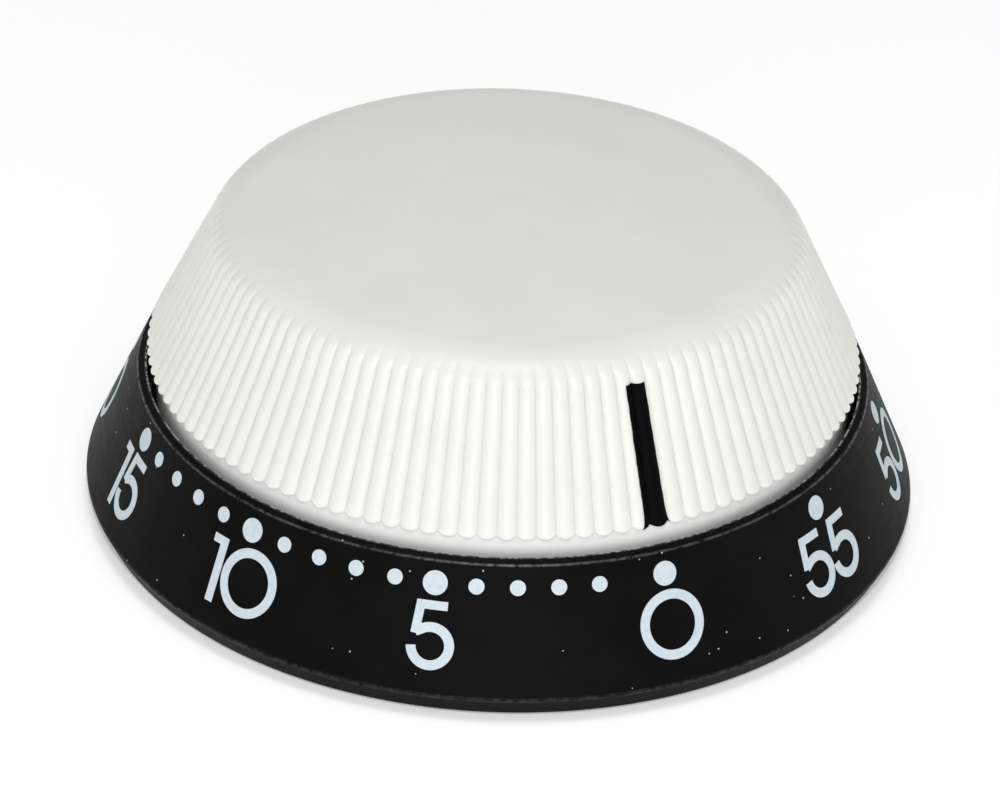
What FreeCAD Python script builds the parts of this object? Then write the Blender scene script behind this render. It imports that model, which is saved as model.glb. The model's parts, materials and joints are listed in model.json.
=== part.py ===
import FreeCAD, Part

import math
import operator
import os

import Sketcher
from FreeCAD import Placement, Rotation, Vector

# A sixty-minute clockwork kitchen timer: a ribbed winding knob over a low round base that holds a
# spring-driven movement with a bell. Millimetres; +Z up; the origin is the centre of the face that
# it rests on; -Y points at the 0 mark of the dial. Every size below can be changed by itself.

SIZES = {
    # base
    "base_radius": 39.0,
    "base_foot_inset": 0.95,
    "base_band_height": 2.27,
    "base_ground_gap": 0.35,
    "lip_radius": 34.09,
    "lip_height": 13.25,
    "lip_width": 0.87,
    "lip_rise": 0.34,
    "base_wall": 2.0,
    "channel_floor_height": 9.0,
    "turret_gap": 0.8,
    "turret_wall": 1.8,
    "roof_thickness": 1.6,
    "roof_gap": 1.2,
    "roof_bore_radius": 6.5,
    # back cover and its screws
    "cover_radius": 36.4,
    "cover_fit": 0.15,
    "cover_thickness": 1.5,
    "cover_ledge": 1.0,
    "foot_ring_height": 0.5,
    "foot_ring_width": 2.0,
    "slot_count": 12,
    "slot_width": 1.6,
    "slot_length": 8.0,
    "slot_radius": 19.0,
    "cover_screw_count": 3,
    "cover_screw_circle": 31.6,
    "cover_screw_angle": 30.0,
    "cover_screw_head_radius": 2.1,
    "cover_screw_shank_radius": 1.1,
    "screw_boss_radius": 2.8,
    # knob
    "knob_radius": 33.19,
    "knob_edge_height": 15.48,
    "knob_height": 30.07,
    "knob_crown": 0.77,
    "knob_crown_radius": 23.2,
    "knob_lean": 25.93,
    "knob_shoulder": 4.5,
    "knob_wall": 2.0,
    "neck_gap": 0.8,
    "neck_wall": 1.6,
    "neck_depth": 5.0,
    "hub_radius": 4.6,
    "hub_depth": 3.2,
    "rib_count": 120,
    "rib_groove_width": 0.4,
    "rib_groove_depth": 0.4,
    # movement frame
    "top_plate_radius": 24.4,
    "bottom_plate_radius": 20.8,
    "plate_thickness": 1.0,
    "top_plate_height": 20.2,
    "bottom_plate_height": 10.0,
    "pillar_circle": 19.0,
    "pillar_radius": 1.4,
    "pillar_spigot_radius": 0.9,
    "pillar_angle": 125.0,
    "pillar_spread": 35.0,
    "plate_screw_head_radius": 1.5,
    "plate_screw_head_height": 0.6,
    "plate_screw_shank_radius": 0.7,
    "plate_screw_length": 4.0,
    "mount_circle": 22.6,
    "mount_boss_radius": 2.0,
    "mount_count": 3,
    "mount_start_angle": 30.0,
    "mount_screw_head_radius": 1.6,
    "mount_screw_head_height": 0.9,
    "mount_screw_shank_radius": 0.8,
    # fits
    "running_gap": 0.04,
    "part_gap": 0.3,
    # main arbor
    "arbor_radius": 2.5,
    "arbor_pivot_radius": 1.25,
    "arbor_collar_radius": 3.4,
    "arbor_flat": 2.0,
    "arbor_end_gap": 0.3,
    "top_web": 2.3,
    # going train: teeth, modules and levels above the lower plate
    "great_teeth": 54,
    "second_leaves": 9,
    "second_teeth": 56,
    "third_leaves": 8,
    "third_teeth": 48,
    "escape_leaves": 8,
    "escape_teeth": 24,
    "great_module": 0.5,
    "second_module": 0.32,
    "third_module": 0.28,
    "escape_radius": 4.2,
    "escape_tooth_depth": 0.9,
    "wheel_thickness": 0.7,
    "pivot_radius": 0.4,
    "shaft_radius": 0.7,
    "great_level": 1.0,
    "escape_level": 2.4,
    "second_level": 3.2,
    "third_level": 5.3,
    "balance_level": 7.2,
    "train_angle": 200.0,
    "third_circle": 17.5,
    "escape_circle": 18.4,
    "balance_circle": 17.8,
    "mesh_gap": 0.05,
    # ratchet, click, mainspring
    "ratchet_teeth": 16,
    "ratchet_radius": 5.2,
    "ratchet_tooth_depth": 0.8,
    "click_pivot_circle": 9.2,
    "click_pivot_radius": 0.7,
    "click_thickness": 0.7,
    "spring_strip": 0.35,
    "spring_pitch": 0.86,
    "spring_turns": 8,
    "spring_width": 3.2,
    "spring_level": 4.6,
    "spring_post_radius": 0.8,
    # balance and pallets
    "pallet_pin_radius": 0.25,
    "pallet_gap": 0.12,
    "pallet_reach_teeth": 2.5,
    "balance_radius": 4.6,
    "balance_rim": 1.1,
    # strike work and bell
    "cam_radius": 9.0,
    "cam_thickness": 0.6,
    "cam_notch_width": 2.4,
    "cam_notch_depth": 1.6,
    "stop_arm_radius": 16.6,
    "stop_arm_width": 0.8,
    "stop_tab_circle": 16.1,
    "stop_tab_width": 1.2,
    "stop_angle": 80.0,
    "hammer_circle": 19.3,
    "hammer_angle": 20.0,
    "hammer_shaft_radius": 0.9,
    "hammer_arm_length": 7.6,
    "hammer_arm_width": 1.6,
    "hammer_head_radius": 1.5,
    "hammer_head_height": 3.0,
    "hammer_spring_reach": 6.5,
    "hammer_spring_back": 3.4,
    "hammer_spring_post_radius": 0.8,
    "bell_radius": 19.0,
    "bell_height": 4.6,
    "bell_sheet": 0.6,
    "bell_shift": 3.2,
    "bell_floor_gap": 1.2,
    "bell_post_radius": 2.2,
    "bell_screw_head_radius": 2.4,
}

# the share of a pitch that a gap takes at its root and its tip, and how far teeth reach in modules
WHEEL_TEETH = {"root_share": 0.40, "tip_share": 0.76, "addendum": 0.95, "dedendum": 1.3}
PINION_LEAVES = {"root_share": 0.50, "tip_share": 0.84, "addendum": 0.8, "dedendum": 1.15}
# how many times a tip radius the outline of a cut reaches, so that it passes right through
CUT_BEYOND = 1.15
# the bell's outside: shares of its radius and of its height, from the crown to the rim
BELL_CURVE = ((0.86, 0.0), (0.965, 0.2), (1.0, 0.55))

OPERATIONS = {"+": operator.add, "-": operator.sub, "*": operator.mul, "/": operator.truediv}


class Size:
    """A size known as a number and as the formula that the document works it out by."""

    def __init__(self, value, formula):
        self.value = value
        self.formula = formula

    def __add__(self, other):
        return joined(self, "+", other)

    def __radd__(self, other):
        return joined(other, "+", self)

    def __sub__(self, other):
        return joined(self, "-", other)

    def __rsub__(self, other):
        return joined(other, "-", self)

    def __mul__(self, other):
        return joined(self, "*", other)

    def __rmul__(self, other):
        return joined(other, "*", self)

    def __truediv__(self, other):
        return joined(self, "/", other)

    def __rtruediv__(self, other):
        return joined(other, "/", self)

    def __neg__(self):
        return joined(0, "-", self)


def as_size(item):
    """A plain number as a Size; a Size as it is."""
    return item if isinstance(item, Size) else Size(float(item), f"{float(item):.6f}")


def joined(left, sign, right):
    """Two sizes put together by one arithmetic sign."""
    left = as_size(left)
    right = as_size(right)
    return Size(OPERATIONS[sign](left.value, right.value), f"({left.formula} {sign} {right.formula})")


def of_angle(name, angle):
    """A trigonometric function of an angle in degrees."""
    angle = as_size(angle)
    return Size(getattr(math, name)(math.radians(angle.value)), f"{name}({angle.formula})")


def arc_cosine(ratio):
    """The angle in degrees that has this cosine."""
    return Size(math.degrees(math.acos(ratio.value)), f"(acos({ratio.formula}) / 1 deg)")


def polar(radius, angle):
    """The x and y of a point on a circle around the main axis."""
    return radius * of_angle("cos", angle), radius * of_angle("sin", angle)


def apex_angle(side_a, side_b, opposite):
    """The angle between two sides of a triangle, from its three sides."""
    return arc_cosine((side_a * side_a + side_b * side_b - opposite * opposite) / (2 * side_a * side_b))


document = FreeCAD.newDocument("kitchen_timer")
sheet = document.addObject("Spreadsheet::Sheet", "Sizes")
for row, (word, number) in enumerate(SIZES.items(), start=1):
    sheet.set(f"A{row}", word.replace("_", " "))
    sheet.set(f"B{row}", str(number))
    sheet.setAlias(f"B{row}", word)
document.recompute()


class Dimensions:
    """The sheet's sizes by name."""

    def __getattr__(self, word):
        return Size(float(sheet.get(word)), f"Sizes.{word}")


size = Dimensions()
nodes = []

# ---------------------------------------------------------------- sizes that follow from the others

cover_top = size.foot_ring_height + size.cover_thickness
lip_inner = size.lip_radius - size.lip_width
lip_top = size.lip_height + size.lip_rise
lean_run = of_angle("tan", size.knob_lean)
knob_wall_across = size.knob_wall / of_angle("cos", size.knob_lean)
neck_radius = lip_inner - size.neck_gap
neck_inner = neck_radius - size.neck_wall
neck_bottom = size.knob_edge_height - size.neck_depth
knob_rim = size.knob_height - size.knob_crown
knob_ceiling = knob_rim - size.top_web
hub_bottom = knob_ceiling - size.hub_depth
turret_foot = neck_inner - size.turret_gap
arbor_top = knob_ceiling - size.arbor_end_gap
upper_face = size.top_plate_height + size.plate_thickness
lower_face = size.bottom_plate_height + size.plate_thickness
roof_top = knob_ceiling - size.roof_gap
roof_underside = roof_top - size.roof_thickness
second_circle = size.great_module * (size.great_teeth + size.second_leaves) / 2 + size.mesh_gap
third_reach = size.second_module * (size.second_teeth + size.third_leaves) / 2 + size.mesh_gap
escape_reach = size.third_module * (size.third_teeth + size.escape_leaves) / 2 + size.mesh_gap
pallet_angle = size.pallet_reach_teeth * 360 / size.escape_teeth
pin_circle = size.escape_radius + size.pallet_gap + size.pallet_pin_radius
balance_reach = pin_circle / of_angle("cos", pallet_angle)

second_angle = size.train_angle
third_angle = second_angle + apex_angle(second_circle, size.third_circle, third_reach)
escape_angle = third_angle + apex_angle(size.third_circle, size.escape_circle, escape_reach)
balance_angle = escape_angle + apex_angle(size.escape_circle, size.balance_circle, balance_reach)

second_place = polar(second_circle, second_angle)
third_place = polar(size.third_circle, third_angle)
escape_place = polar(size.escape_circle, escape_angle)
balance_place = polar(size.balance_circle, balance_angle)
hammer_place = polar(size.hammer_circle, size.hammer_angle)

bell_bottom = cover_top + size.bell_floor_gap
bell_top = bell_bottom + size.bell_height
bell_centre = (-size.bell_shift * of_angle("cos", size.hammer_angle),
               -size.bell_shift * of_angle("sin", size.hammer_angle))
cam_level = upper_face + size.part_gap
stop_level = cam_level + size.cam_thickness + size.part_gap / 3


def knob_cone(height):
    """Radius of the knob's rib tips at a height."""
    return size.knob_radius - (height - size.knob_edge_height) * lean_run


def turret_cone(height):
    """Radius of the turret's outer wall at a height above the knob's edge."""
    return knob_cone(height) - (size.knob_radius - turret_foot)


def dial_cone(height):
    """Radius of the base's dial at a height."""
    fall = (size.base_radius - size.lip_radius) / (size.lip_height - size.base_band_height)
    return size.base_radius - (height - size.base_band_height) * fall


# ------------------------------------------------------------------------------- drawing and turning


def new_body(name):
    """A body that becomes one node."""
    body = document.addObject("PartDesign::Body", name)
    body.Label = name
    nodes.append(body)
    return body


def origin_part(body, role):
    """One of a body's own origin planes or axes."""
    return next(item for item in body.Origin.OriginFeatures if item.Role == role)


def new_sketch(body, role, name, height=0):
    """A sketch on one of the body's own planes, raised along that plane's normal."""
    sketch = body.newObject("Sketcher::SketchObject", name)
    sketch.AttachmentSupport = [(origin_part(body, role), "")]
    sketch.MapMode = "FlatFace"
    height = as_size(height)
    sketch.AttachmentOffset = Placement(Vector(0, 0, height.value), Rotation())
    if height.value:
        sketch.setExpression("AttachmentOffset.Base.z", height.formula)
    return sketch


def tie(sketch, kind, references, amount):
    """A dimension in a sketch, kept equal to a size."""
    index = sketch.addConstraint(Sketcher.Constraint(kind, *references, amount.value))
    sketch.setExpression(f"Constraints[{index}]", amount.formula)


def tie_point(sketch, geometry, end, place):
    """A point of a sketch held at a place measured from the sketch's origin."""
    for kind, axis, amount in zip(("DistanceX", "DistanceY"), (-2, -1), place):
        amount = as_size(amount)
        if amount.value:
            tie(sketch, kind, (-1, 1, geometry, end), amount)
        else:
            sketch.addConstraint(Sketcher.Constraint("PointOnObject", geometry, end, axis))


def crown_arc(rim, middle):
    """An arc from a rim to a middle on the sketch's upright axis, level where it meets the axis."""
    rise = middle.y - rim.y
    radius = (rim.x ** 2 + rise ** 2) / (2 * rise)
    round_line = Part.Circle(Vector(0, middle.y - radius, 0), Vector(0, 0, 1), radius)
    return Part.ArcOfCircle(round_line, math.atan2(radius - rise, rim.x), math.pi / 2)


def outline(sketch, corners, crown=None):
    """A closed outline of straight lines through corners given as pairs of sizes. From the corner
    numbered crown, if there is one, runs an arc centred on the sketch's upright axis instead."""
    first = sketch.GeometryCount
    points = [Vector(as_size(x).value, as_size(y).value, 0) for x, y in corners]
    count = len(points)
    for index in range(count):
        draw = crown_arc if index == crown else Part.LineSegment
        sketch.addGeometry(draw(points[index], points[(index + 1) % count]), False)
    if crown is not None:
        sketch.addConstraint(Sketcher.Constraint("PointOnObject", first + crown, 3, -2))
    for index in range(count):
        following = first + (index + 1) % count
        sketch.addConstraint(Sketcher.Constraint("Coincident", first + index, 2, following, 1))
    for index, corner in enumerate(corners):
        tie_point(sketch, first + index, 1, corner)


def circle(sketch, place, radius):
    """A circle held by its centre and radius."""
    radius = as_size(radius)
    centre = Vector(as_size(place[0]).value, as_size(place[1]).value, 0)
    index = sketch.addGeometry(Part.Circle(centre, Vector(0, 0, 1), radius.value), False)
    tie_point(sketch, index, 3, place)
    tie(sketch, "Radius", (index,), radius)


def turn(body, section, offset=0, name="turn", crown=None):
    """A revolution of a section, given as radius and height pairs, about an upright axis."""
    sketch = new_sketch(body, "XZ_Plane", f"{body.Name}_{name}_section")
    outline(sketch, [(radius + offset, height) for radius, height in section], crown)
    feature = body.newObject("PartDesign::Revolution", f"{body.Name}_{name}")
    feature.Profile = sketch
    feature.ReferenceAxis = (sketch, ["V_Axis"])
    if isinstance(offset, Size):
        low = Vector(offset.value, 0, 0)
        axis = sketch.addGeometry(Part.LineSegment(low, low + Vector(0, 1, 0)), True)
        tie_point(sketch, axis, 1, (offset, 0))
        sketch.addConstraint(Sketcher.Constraint("Vertical", axis))
        tie(sketch, "DistanceY", (axis, 1, axis, 2), as_size(1))
        feature.ReferenceAxis = (sketch, ["Axis0"])
    feature.Angle = 360
    return feature


def raise_pad(body, draw, height, thickness, name="pad"):
    """A pad upwards from a height of whatever draw puts into its sketch."""
    sketch = new_sketch(body, "XY_Plane", f"{body.Name}_{name}_sketch", height)
    draw(sketch)
    feature = body.newObject("PartDesign::Pad", f"{body.Name}_{name}")
    feature.Profile = sketch
    feature.setExpression("Length", as_size(thickness).formula)
    return feature


def cut_down(body, draw, height, depth, name="cut"):
    """A pocket downwards from a height of whatever draw puts into its sketch."""
    sketch = new_sketch(body, "XY_Plane", f"{body.Name}_{name}_sketch", height)
    draw(sketch)
    feature = body.newObject("PartDesign::Pocket", f"{body.Name}_{name}")
    feature.Profile = sketch
    feature.setExpression("Length", as_size(depth).formula)
    return feature


def around(body, feature, count):
    """A feature repeated evenly round the body's upright axis."""
    pattern = body.newObject("PartDesign::PolarPattern", f"{feature.Name}_ring")
    pattern.Originals = [feature]
    pattern.Axis = (origin_part(body, "Z_Axis"), [""])
    pattern.Angle = 360
    pattern.setExpression("Occurrences", as_size(count).formula)
    body.Tip = pattern
    return pattern


def place(body, position=(0, 0), angle=0):
    """Puts a body at a place, turned about its own upright axis."""
    x, y, angle = (as_size(item) for item in (*position, angle))
    body.Placement = Placement(Vector(x.value, y.value, 0), Rotation(Vector(0, 0, 1), angle.value))
    for path, amount in (("Base.x", x), ("Base.y", y), ("Rotation.Angle", angle)):
        body.setExpression(f"Placement.{path}", amount.formula)
    return body


def turned(name, section):
    """A body turned from one section."""
    body = new_body(name)
    turn(body, section)
    return body


def rod(radius, low, high):
    """The section of a plain round bar."""
    return [(0, low), (radius, low), (radius, high), (0, high)]


def ring(inner, outer, low, high):
    """The section of a plain ring."""
    return [(inner, low), (outer, low), (outer, high), (inner, high)]


def turned_set(name, section, circle_radius, count, start_angle=0):
    """Identical turned pieces spaced evenly on a circle."""
    body = new_body(name)
    around(body, turn(body, section, circle_radius), count)
    return place(body, angle=start_angle)


def edge_at(feature, radius, height):
    """The name of a feature's round edge about the main axis at a radius and height."""
    document.recompute()
    for number, edge in enumerate(feature.Shape.Edges, start=1):
        curve = edge.Curve
        if isinstance(curve, Part.Circle) and abs(curve.Radius - radius.value) < 0.01:
            if abs(curve.Center.z - height.value) < 0.01:
                return f"Edge{number}"
    raise ValueError(f"{feature.Name} has no round edge of radius {radius.value}")


def tooth_gap(count, root, tip, root_share, tip_share):
    """The corners of one gap between teeth, centred on +X, cut a little past the tips."""
    pitch = 360 / as_size(count)
    beyond = tip * CUT_BEYOND
    corners = []
    for radius, share in ((root, root_share), (beyond, tip_share)):
        corners.append(polar(radius, -pitch * share / 2))
    for radius, share in ((beyond, tip_share), (root, root_share)):
        corners.append(polar(radius, pitch * share / 2))
    return corners


def tip_radius(count, module, teeth):
    """The radius that gear teeth of a kind reach."""
    return module * count / 2 + module * teeth["addendum"]


def cut_teeth(body, count, module, low, high, teeth):
    """Gear teeth of a kind cut into a disc between two heights."""
    root = module * count / 2 - module * teeth["dedendum"]
    corners = tooth_gap(count, root, tip_radius(count, module, teeth), teeth["root_share"],
                        teeth["tip_share"])
    gap = cut_down(body, lambda sketch: outline(sketch, corners), high, high - low, "teeth")
    around(body, gap, count)


# ------------------------------------------------------------------------------------ outside pieces


def make_base_housing():
    """The black ring with its dial, the groove that the knob's neck turns in and the turret."""
    inner = size.base_radius - size.base_wall
    seat = size.cover_radius + size.cover_fit
    deck = size.channel_floor_height - size.base_wall
    body = turned("base_housing", [
        (size.base_radius - size.base_foot_inset, size.base_ground_gap),
        (size.base_radius, size.base_band_height),
        (size.lip_radius, size.lip_height),
        (lip_inner, lip_top),
        (lip_inner, size.channel_floor_height),
        (turret_foot, size.channel_floor_height),
        (turret_foot, size.knob_edge_height),
        (turret_cone(roof_top), roof_top),
        (size.roof_bore_radius, roof_top),
        (size.roof_bore_radius, roof_underside),
        (turret_cone(roof_underside) - size.turret_wall, roof_underside),
        (turret_foot - size.turret_wall, size.knob_edge_height),
        (turret_foot - size.turret_wall, deck),
        (dial_cone(deck) - size.base_wall, deck),
        (seat - size.cover_ledge, cover_top),
        (seat, cover_top),
        (seat, size.base_ground_gap),
    ])

    def bosses(sketch):
        circle(sketch, (size.cover_screw_circle, 0), size.screw_boss_radius)

    def screw_holes(sketch):
        circle(sketch, (size.cover_screw_circle, 0), size.cover_screw_shank_radius)

    root = size.base_wall / 2
    around(body, raise_pad(body, bosses, cover_top, deck - cover_top + root, "bosses"),
           size.cover_screw_count)
    around(body, cut_down(body, screw_holes, deck, deck - cover_top, "boss_holes"),
           size.cover_screw_count)

    def mounts(sketch):
        circle(sketch, polar(size.mount_circle, size.mount_start_angle), size.mount_boss_radius)

    def mount_holes(sketch):
        circle(sketch, polar(size.mount_circle, size.mount_start_angle), size.mount_screw_shank_radius)

    depth = roof_underside - upper_face
    around(body, raise_pad(body, mounts, upper_face, depth + root / 2, "mounts"), size.mount_count)
    around(body, cut_down(body, mount_holes, roof_underside, depth, "mount_holes"), size.mount_count)
    return body


def make_back_cover():
    """The flat cover with its foot ring, screw seats and sound slots."""
    foot_outer = size.cover_radius - size.part_gap
    screw_place = polar(size.cover_screw_circle, size.cover_screw_angle)
    body = turned("back_cover", [
        (0, size.foot_ring_height),
        (foot_outer - size.foot_ring_width, size.foot_ring_height),
        (foot_outer - size.foot_ring_width, 0),
        (foot_outer, 0),
        (foot_outer, size.foot_ring_height),
        (size.cover_radius, size.foot_ring_height),
        (size.cover_radius, cover_top),
        (0, cover_top),
    ])

    def slot(sketch):
        half = size.slot_width / 2
        start = size.slot_radius - size.slot_length / 2
        end = size.slot_radius + size.slot_length / 2
        outline(sketch, [(start, -half), (end, -half), (end, half), (start, half)])

    def screw_hole(sketch):
        circle(sketch, screw_place, size.cover_screw_shank_radius + size.running_gap)

    def screw_seat(sketch):
        circle(sketch, screw_place, size.cover_screw_head_radius + size.part_gap)

    around(body, cut_down(body, slot, cover_top, size.cover_thickness, "slots"), size.slot_count)
    around(body, cut_down(body, screw_hole, cover_top, size.cover_thickness, "screw_holes"),
           size.cover_screw_count)
    around(body, cut_down(body, screw_seat, cover_top - size.cover_thickness / 2,
                          size.cover_thickness / 2, "screw_seats"), size.cover_screw_count)
    return body


def make_knob():
    """The winding knob: a ribbed cap with a crowned top, a plain neck and a hub inside."""
    top_corner = knob_cone(knob_rim)
    body = new_body("knob")
    cap = turn(body, [
        (0, hub_bottom),
        (size.hub_radius, hub_bottom),
        (size.hub_radius, knob_ceiling),
        (knob_cone(knob_ceiling) - knob_wall_across, knob_ceiling),
        (size.knob_radius - knob_wall_across, size.knob_edge_height + size.part_gap),
        (neck_inner, size.knob_edge_height - size.part_gap),
        (neck_inner, neck_bottom),
        (neck_radius, neck_bottom),
        (neck_radius, size.knob_edge_height),
        (size.knob_radius, size.knob_edge_height),
        (top_corner, knob_rim),
        (0, knob_rim),
    ])
    shoulder = body.newObject("PartDesign::Fillet", "knob_shoulder")
    shoulder.Base = (cap, [edge_at(cap, top_corner, knob_rim)])
    shoulder.setExpression("Radius", size.knob_shoulder.formula)
    document.recompute()
    turn(body, [
        (0, knob_rim - size.part_gap),
        (size.knob_crown_radius, knob_rim - size.part_gap),
        (size.knob_crown_radius, knob_rim),
        (0, size.knob_height),
    ], name="crown", crown=2)

    def bore(sketch):
        circle(sketch, (0, 0), size.arbor_radius)

    def key(sketch):
        reach = size.arbor_radius * 1.2
        for side in (-1, 1):
            outline(sketch, [(-reach, side * size.arbor_flat), (reach, side * size.arbor_flat),
                             (reach, side * reach), (-reach, side * reach)])

    cut_down(body, bore, arbor_top + size.arbor_end_gap / 2, arbor_top - hub_bottom + size.part_gap, "bore")
    raise_pad(body, key, hub_bottom, arbor_top - hub_bottom + size.arbor_end_gap / 2, "key")

    across = size.rib_groove_depth / of_angle("cos", size.knob_lean)
    grooves = new_sketch(body, "XZ_Plane", "knob_groove_sketch")
    low = size.knob_edge_height - size.part_gap
    high = size.knob_height + size.part_gap
    outline(grooves, [(knob_cone(low) - across, low), (knob_cone(low) + across, low),
                      (knob_cone(high) + across, high), (knob_cone(high) - across, high)])
    groove = body.newObject("PartDesign::Pocket", "knob_groove")
    groove.Profile = grooves
    groove.Midplane = True
    groove.setExpression("Length", size.rib_groove_width.formula)
    around(body, groove, size.rib_count)
    return body


def make_cover_screws():
    """Three self-tapping screws that hold the back cover."""
    head_low = size.foot_ring_height + size.running_gap
    head_high = cover_top - size.cover_thickness / 2
    radius = size.cover_screw_shank_radius
    deck = size.channel_floor_height - size.base_wall
    body = new_body("cover_screws")
    around(body, turn(body, [
        (0, head_low), (size.cover_screw_head_radius, head_low), (size.cover_screw_head_radius, head_high),
        (radius, head_high), (radius, deck - radius), (0, deck),
    ], size.cover_screw_circle), size.cover_screw_count)

    def slots(sketch):
        half = size.cover_screw_shank_radius / 4
        reach = size.cover_screw_head_radius * 0.7
        centre = size.cover_screw_circle
        outline(sketch, [(centre - reach, -half), (centre + reach, -half),
                         (centre + reach, half), (centre - reach, half)])

    around(body, cut_down(body, slots, head_low + size.part_gap, size.part_gap * 2, "drive"),
           size.cover_screw_count)
    return place(body, angle=size.cover_screw_angle)


# ------------------------------------------------------------------------------------- movement frame


def pivots():
    """Each arbor between the plates: its place and the radius of its bearing holes."""
    small = size.pivot_radius + size.running_gap
    return [((0, 0), size.arbor_pivot_radius + size.running_gap), (second_place, small),
            (third_place, small), (escape_place, small), (balance_place, small),
            (hammer_place, size.hammer_shaft_radius + size.running_gap)]


def make_top_plate():
    """The pressed upper plate, which carries the stop tab."""
    body = turned("top_plate", rod(size.top_plate_radius, size.top_plate_height, upper_face))

    def bearings(sketch):
        circle(sketch, (0, 0), size.arbor_radius + size.running_gap)
        for position, radius in pivots()[1:]:
            circle(sketch, position, radius)
        circle(sketch, spring_post_place(), size.spring_post_radius)

    def screw_holes(sketch):
        for position in pillar_places():
            circle(sketch, position, size.plate_screw_shank_radius)

    def mount_holes(sketch):
        circle(sketch, polar(size.mount_circle, size.mount_start_angle), size.mount_screw_shank_radius)

    def tab(sketch):
        half = size.stop_arm_width / 2
        middle = size.stop_tab_circle
        reach = size.stop_tab_width / 2
        angle = size.stop_angle
        corners = []
        for along, across in ((-reach, -half), (reach, -half), (reach, half), (-reach, half)):
            x = (middle + along) * of_angle("cos", angle) - across * of_angle("sin", angle)
            y = (middle + along) * of_angle("sin", angle) + across * of_angle("cos", angle)
            corners.append((x, y))
        outline(sketch, corners)

    cut_down(body, bearings, upper_face, size.plate_thickness, "bearings")
    cut_down(body, screw_holes, upper_face, size.plate_thickness, "screw_holes")
    around(body, cut_down(body, mount_holes, upper_face, size.plate_thickness, "mount_holes"),
           size.mount_count)
    raise_pad(body, tab, upper_face - size.plate_thickness / 2,
              stop_level + size.cam_thickness - upper_face + size.plate_thickness / 2, "tab")
    return body


def make_bottom_plate():
    """The pressed lower plate."""
    body = turned("bottom_plate", rod(size.bottom_plate_radius, size.bottom_plate_height, lower_face))

    def bearings(sketch):
        for position, radius in pivots():
            circle(sketch, position, radius)
        circle(sketch, bell_centre, size.bell_post_radius / 2)

    def spigot_holes(sketch):
        for position in pillar_places():
            circle(sketch, position, size.pillar_spigot_radius)

    cut_down(body, bearings, lower_face, size.plate_thickness, "bearings")
    cut_down(body, spigot_holes, lower_face, size.plate_thickness, "spigots")
    return body


def pillar_places():
    """The four pillars: two pairs, each pair opposite one another."""
    first = size.pillar_angle
    angles = (first, first + size.pillar_spread, first + 180, first + size.pillar_spread + 180)
    return [polar(size.pillar_circle, angle) for angle in angles]


def at_pillars(radius):
    """A drawing of one circle at each pillar."""
    def draw(sketch):
        for position in pillar_places():
            circle(sketch, position, radius)
    return draw


def make_frame_fasteners():
    """Pillars riveted to the lower plate, the screws that hold the upper one, and the mount screws."""
    screw_end = size.top_plate_height - size.plate_screw_length
    spigot_end = size.bottom_plate_height - size.part_gap
    hole_end = screw_end - size.part_gap

    pillars = new_body("pillars")
    raise_pad(pillars, at_pillars(size.pillar_radius), lower_face, size.top_plate_height - lower_face,
              "shanks")
    raise_pad(pillars, at_pillars(size.pillar_spigot_radius), spigot_end, lower_face - spigot_end,
              "spigots")
    cut_down(pillars, at_pillars(size.plate_screw_shank_radius), size.top_plate_height,
             size.top_plate_height - hole_end, "holes")

    screws = new_body("plate_screws")
    raise_pad(screws, at_pillars(size.plate_screw_shank_radius), screw_end, upper_face - screw_end,
              "shanks")
    raise_pad(screws, at_pillars(size.plate_screw_head_radius), upper_face, size.plate_screw_head_height,
              "heads")

    low = size.top_plate_height - size.mount_screw_head_height
    end = roof_underside - size.part_gap
    turned_set("mount_screws", [
        (0, low), (size.mount_screw_head_radius, low),
        (size.mount_screw_head_radius, size.top_plate_height),
        (size.mount_screw_shank_radius, size.top_plate_height),
        (size.mount_screw_shank_radius, end), (0, end),
    ], size.mount_circle, size.mount_count, size.mount_start_angle)


# ------------------------------------------------------------------------------------- winding side


def make_main_arbor():
    """The spindle that the knob turns, with flats for the knob at its upper end."""
    collar_low = lower_face + size.part_gap / 3
    body = turned("main_arbor", [
        (0, size.bottom_plate_height), (size.arbor_pivot_radius, size.bottom_plate_height),
        (size.arbor_pivot_radius, collar_low), (size.arbor_collar_radius, collar_low),
        (size.arbor_collar_radius, lower_face + size.great_level - size.running_gap),
        (size.arbor_radius, lower_face + size.great_level - size.running_gap),
        (size.arbor_radius, arbor_top - size.part_gap), (size.arbor_radius - size.part_gap, arbor_top),
        (0, arbor_top),
    ])

    def flats(sketch):
        reach = size.arbor_radius * 1.2
        for side in (-1, 1):
            outline(sketch, [(-reach, side * size.arbor_flat), (reach, side * size.arbor_flat),
                             (reach, side * reach), (-reach, side * reach)])

    cut_down(body, flats, arbor_top, arbor_top - hub_bottom + size.part_gap, "flats")
    return body


def make_great_wheel():
    """The wheel that runs free on the arbor and is driven by the click."""
    low = lower_face + size.great_level
    high = low + size.wheel_thickness
    tip = tip_radius(size.great_teeth, size.great_module, WHEEL_TEETH)
    body = turned("great_wheel", ring(size.arbor_radius + size.running_gap, tip, low, high))
    cut_teeth(body, size.great_teeth, size.great_module, low, high, WHEEL_TEETH)

    def rivet_hole(sketch):
        circle(sketch, (size.click_pivot_circle, 0), size.click_pivot_radius)

    cut_down(body, rivet_hole, high, size.wheel_thickness, "rivet_hole")
    return place(body, angle=second_angle)


def ratchet_low():
    """The underside of the ratchet wheel and the click."""
    return lower_face + size.great_level + size.wheel_thickness + size.running_gap


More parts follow.
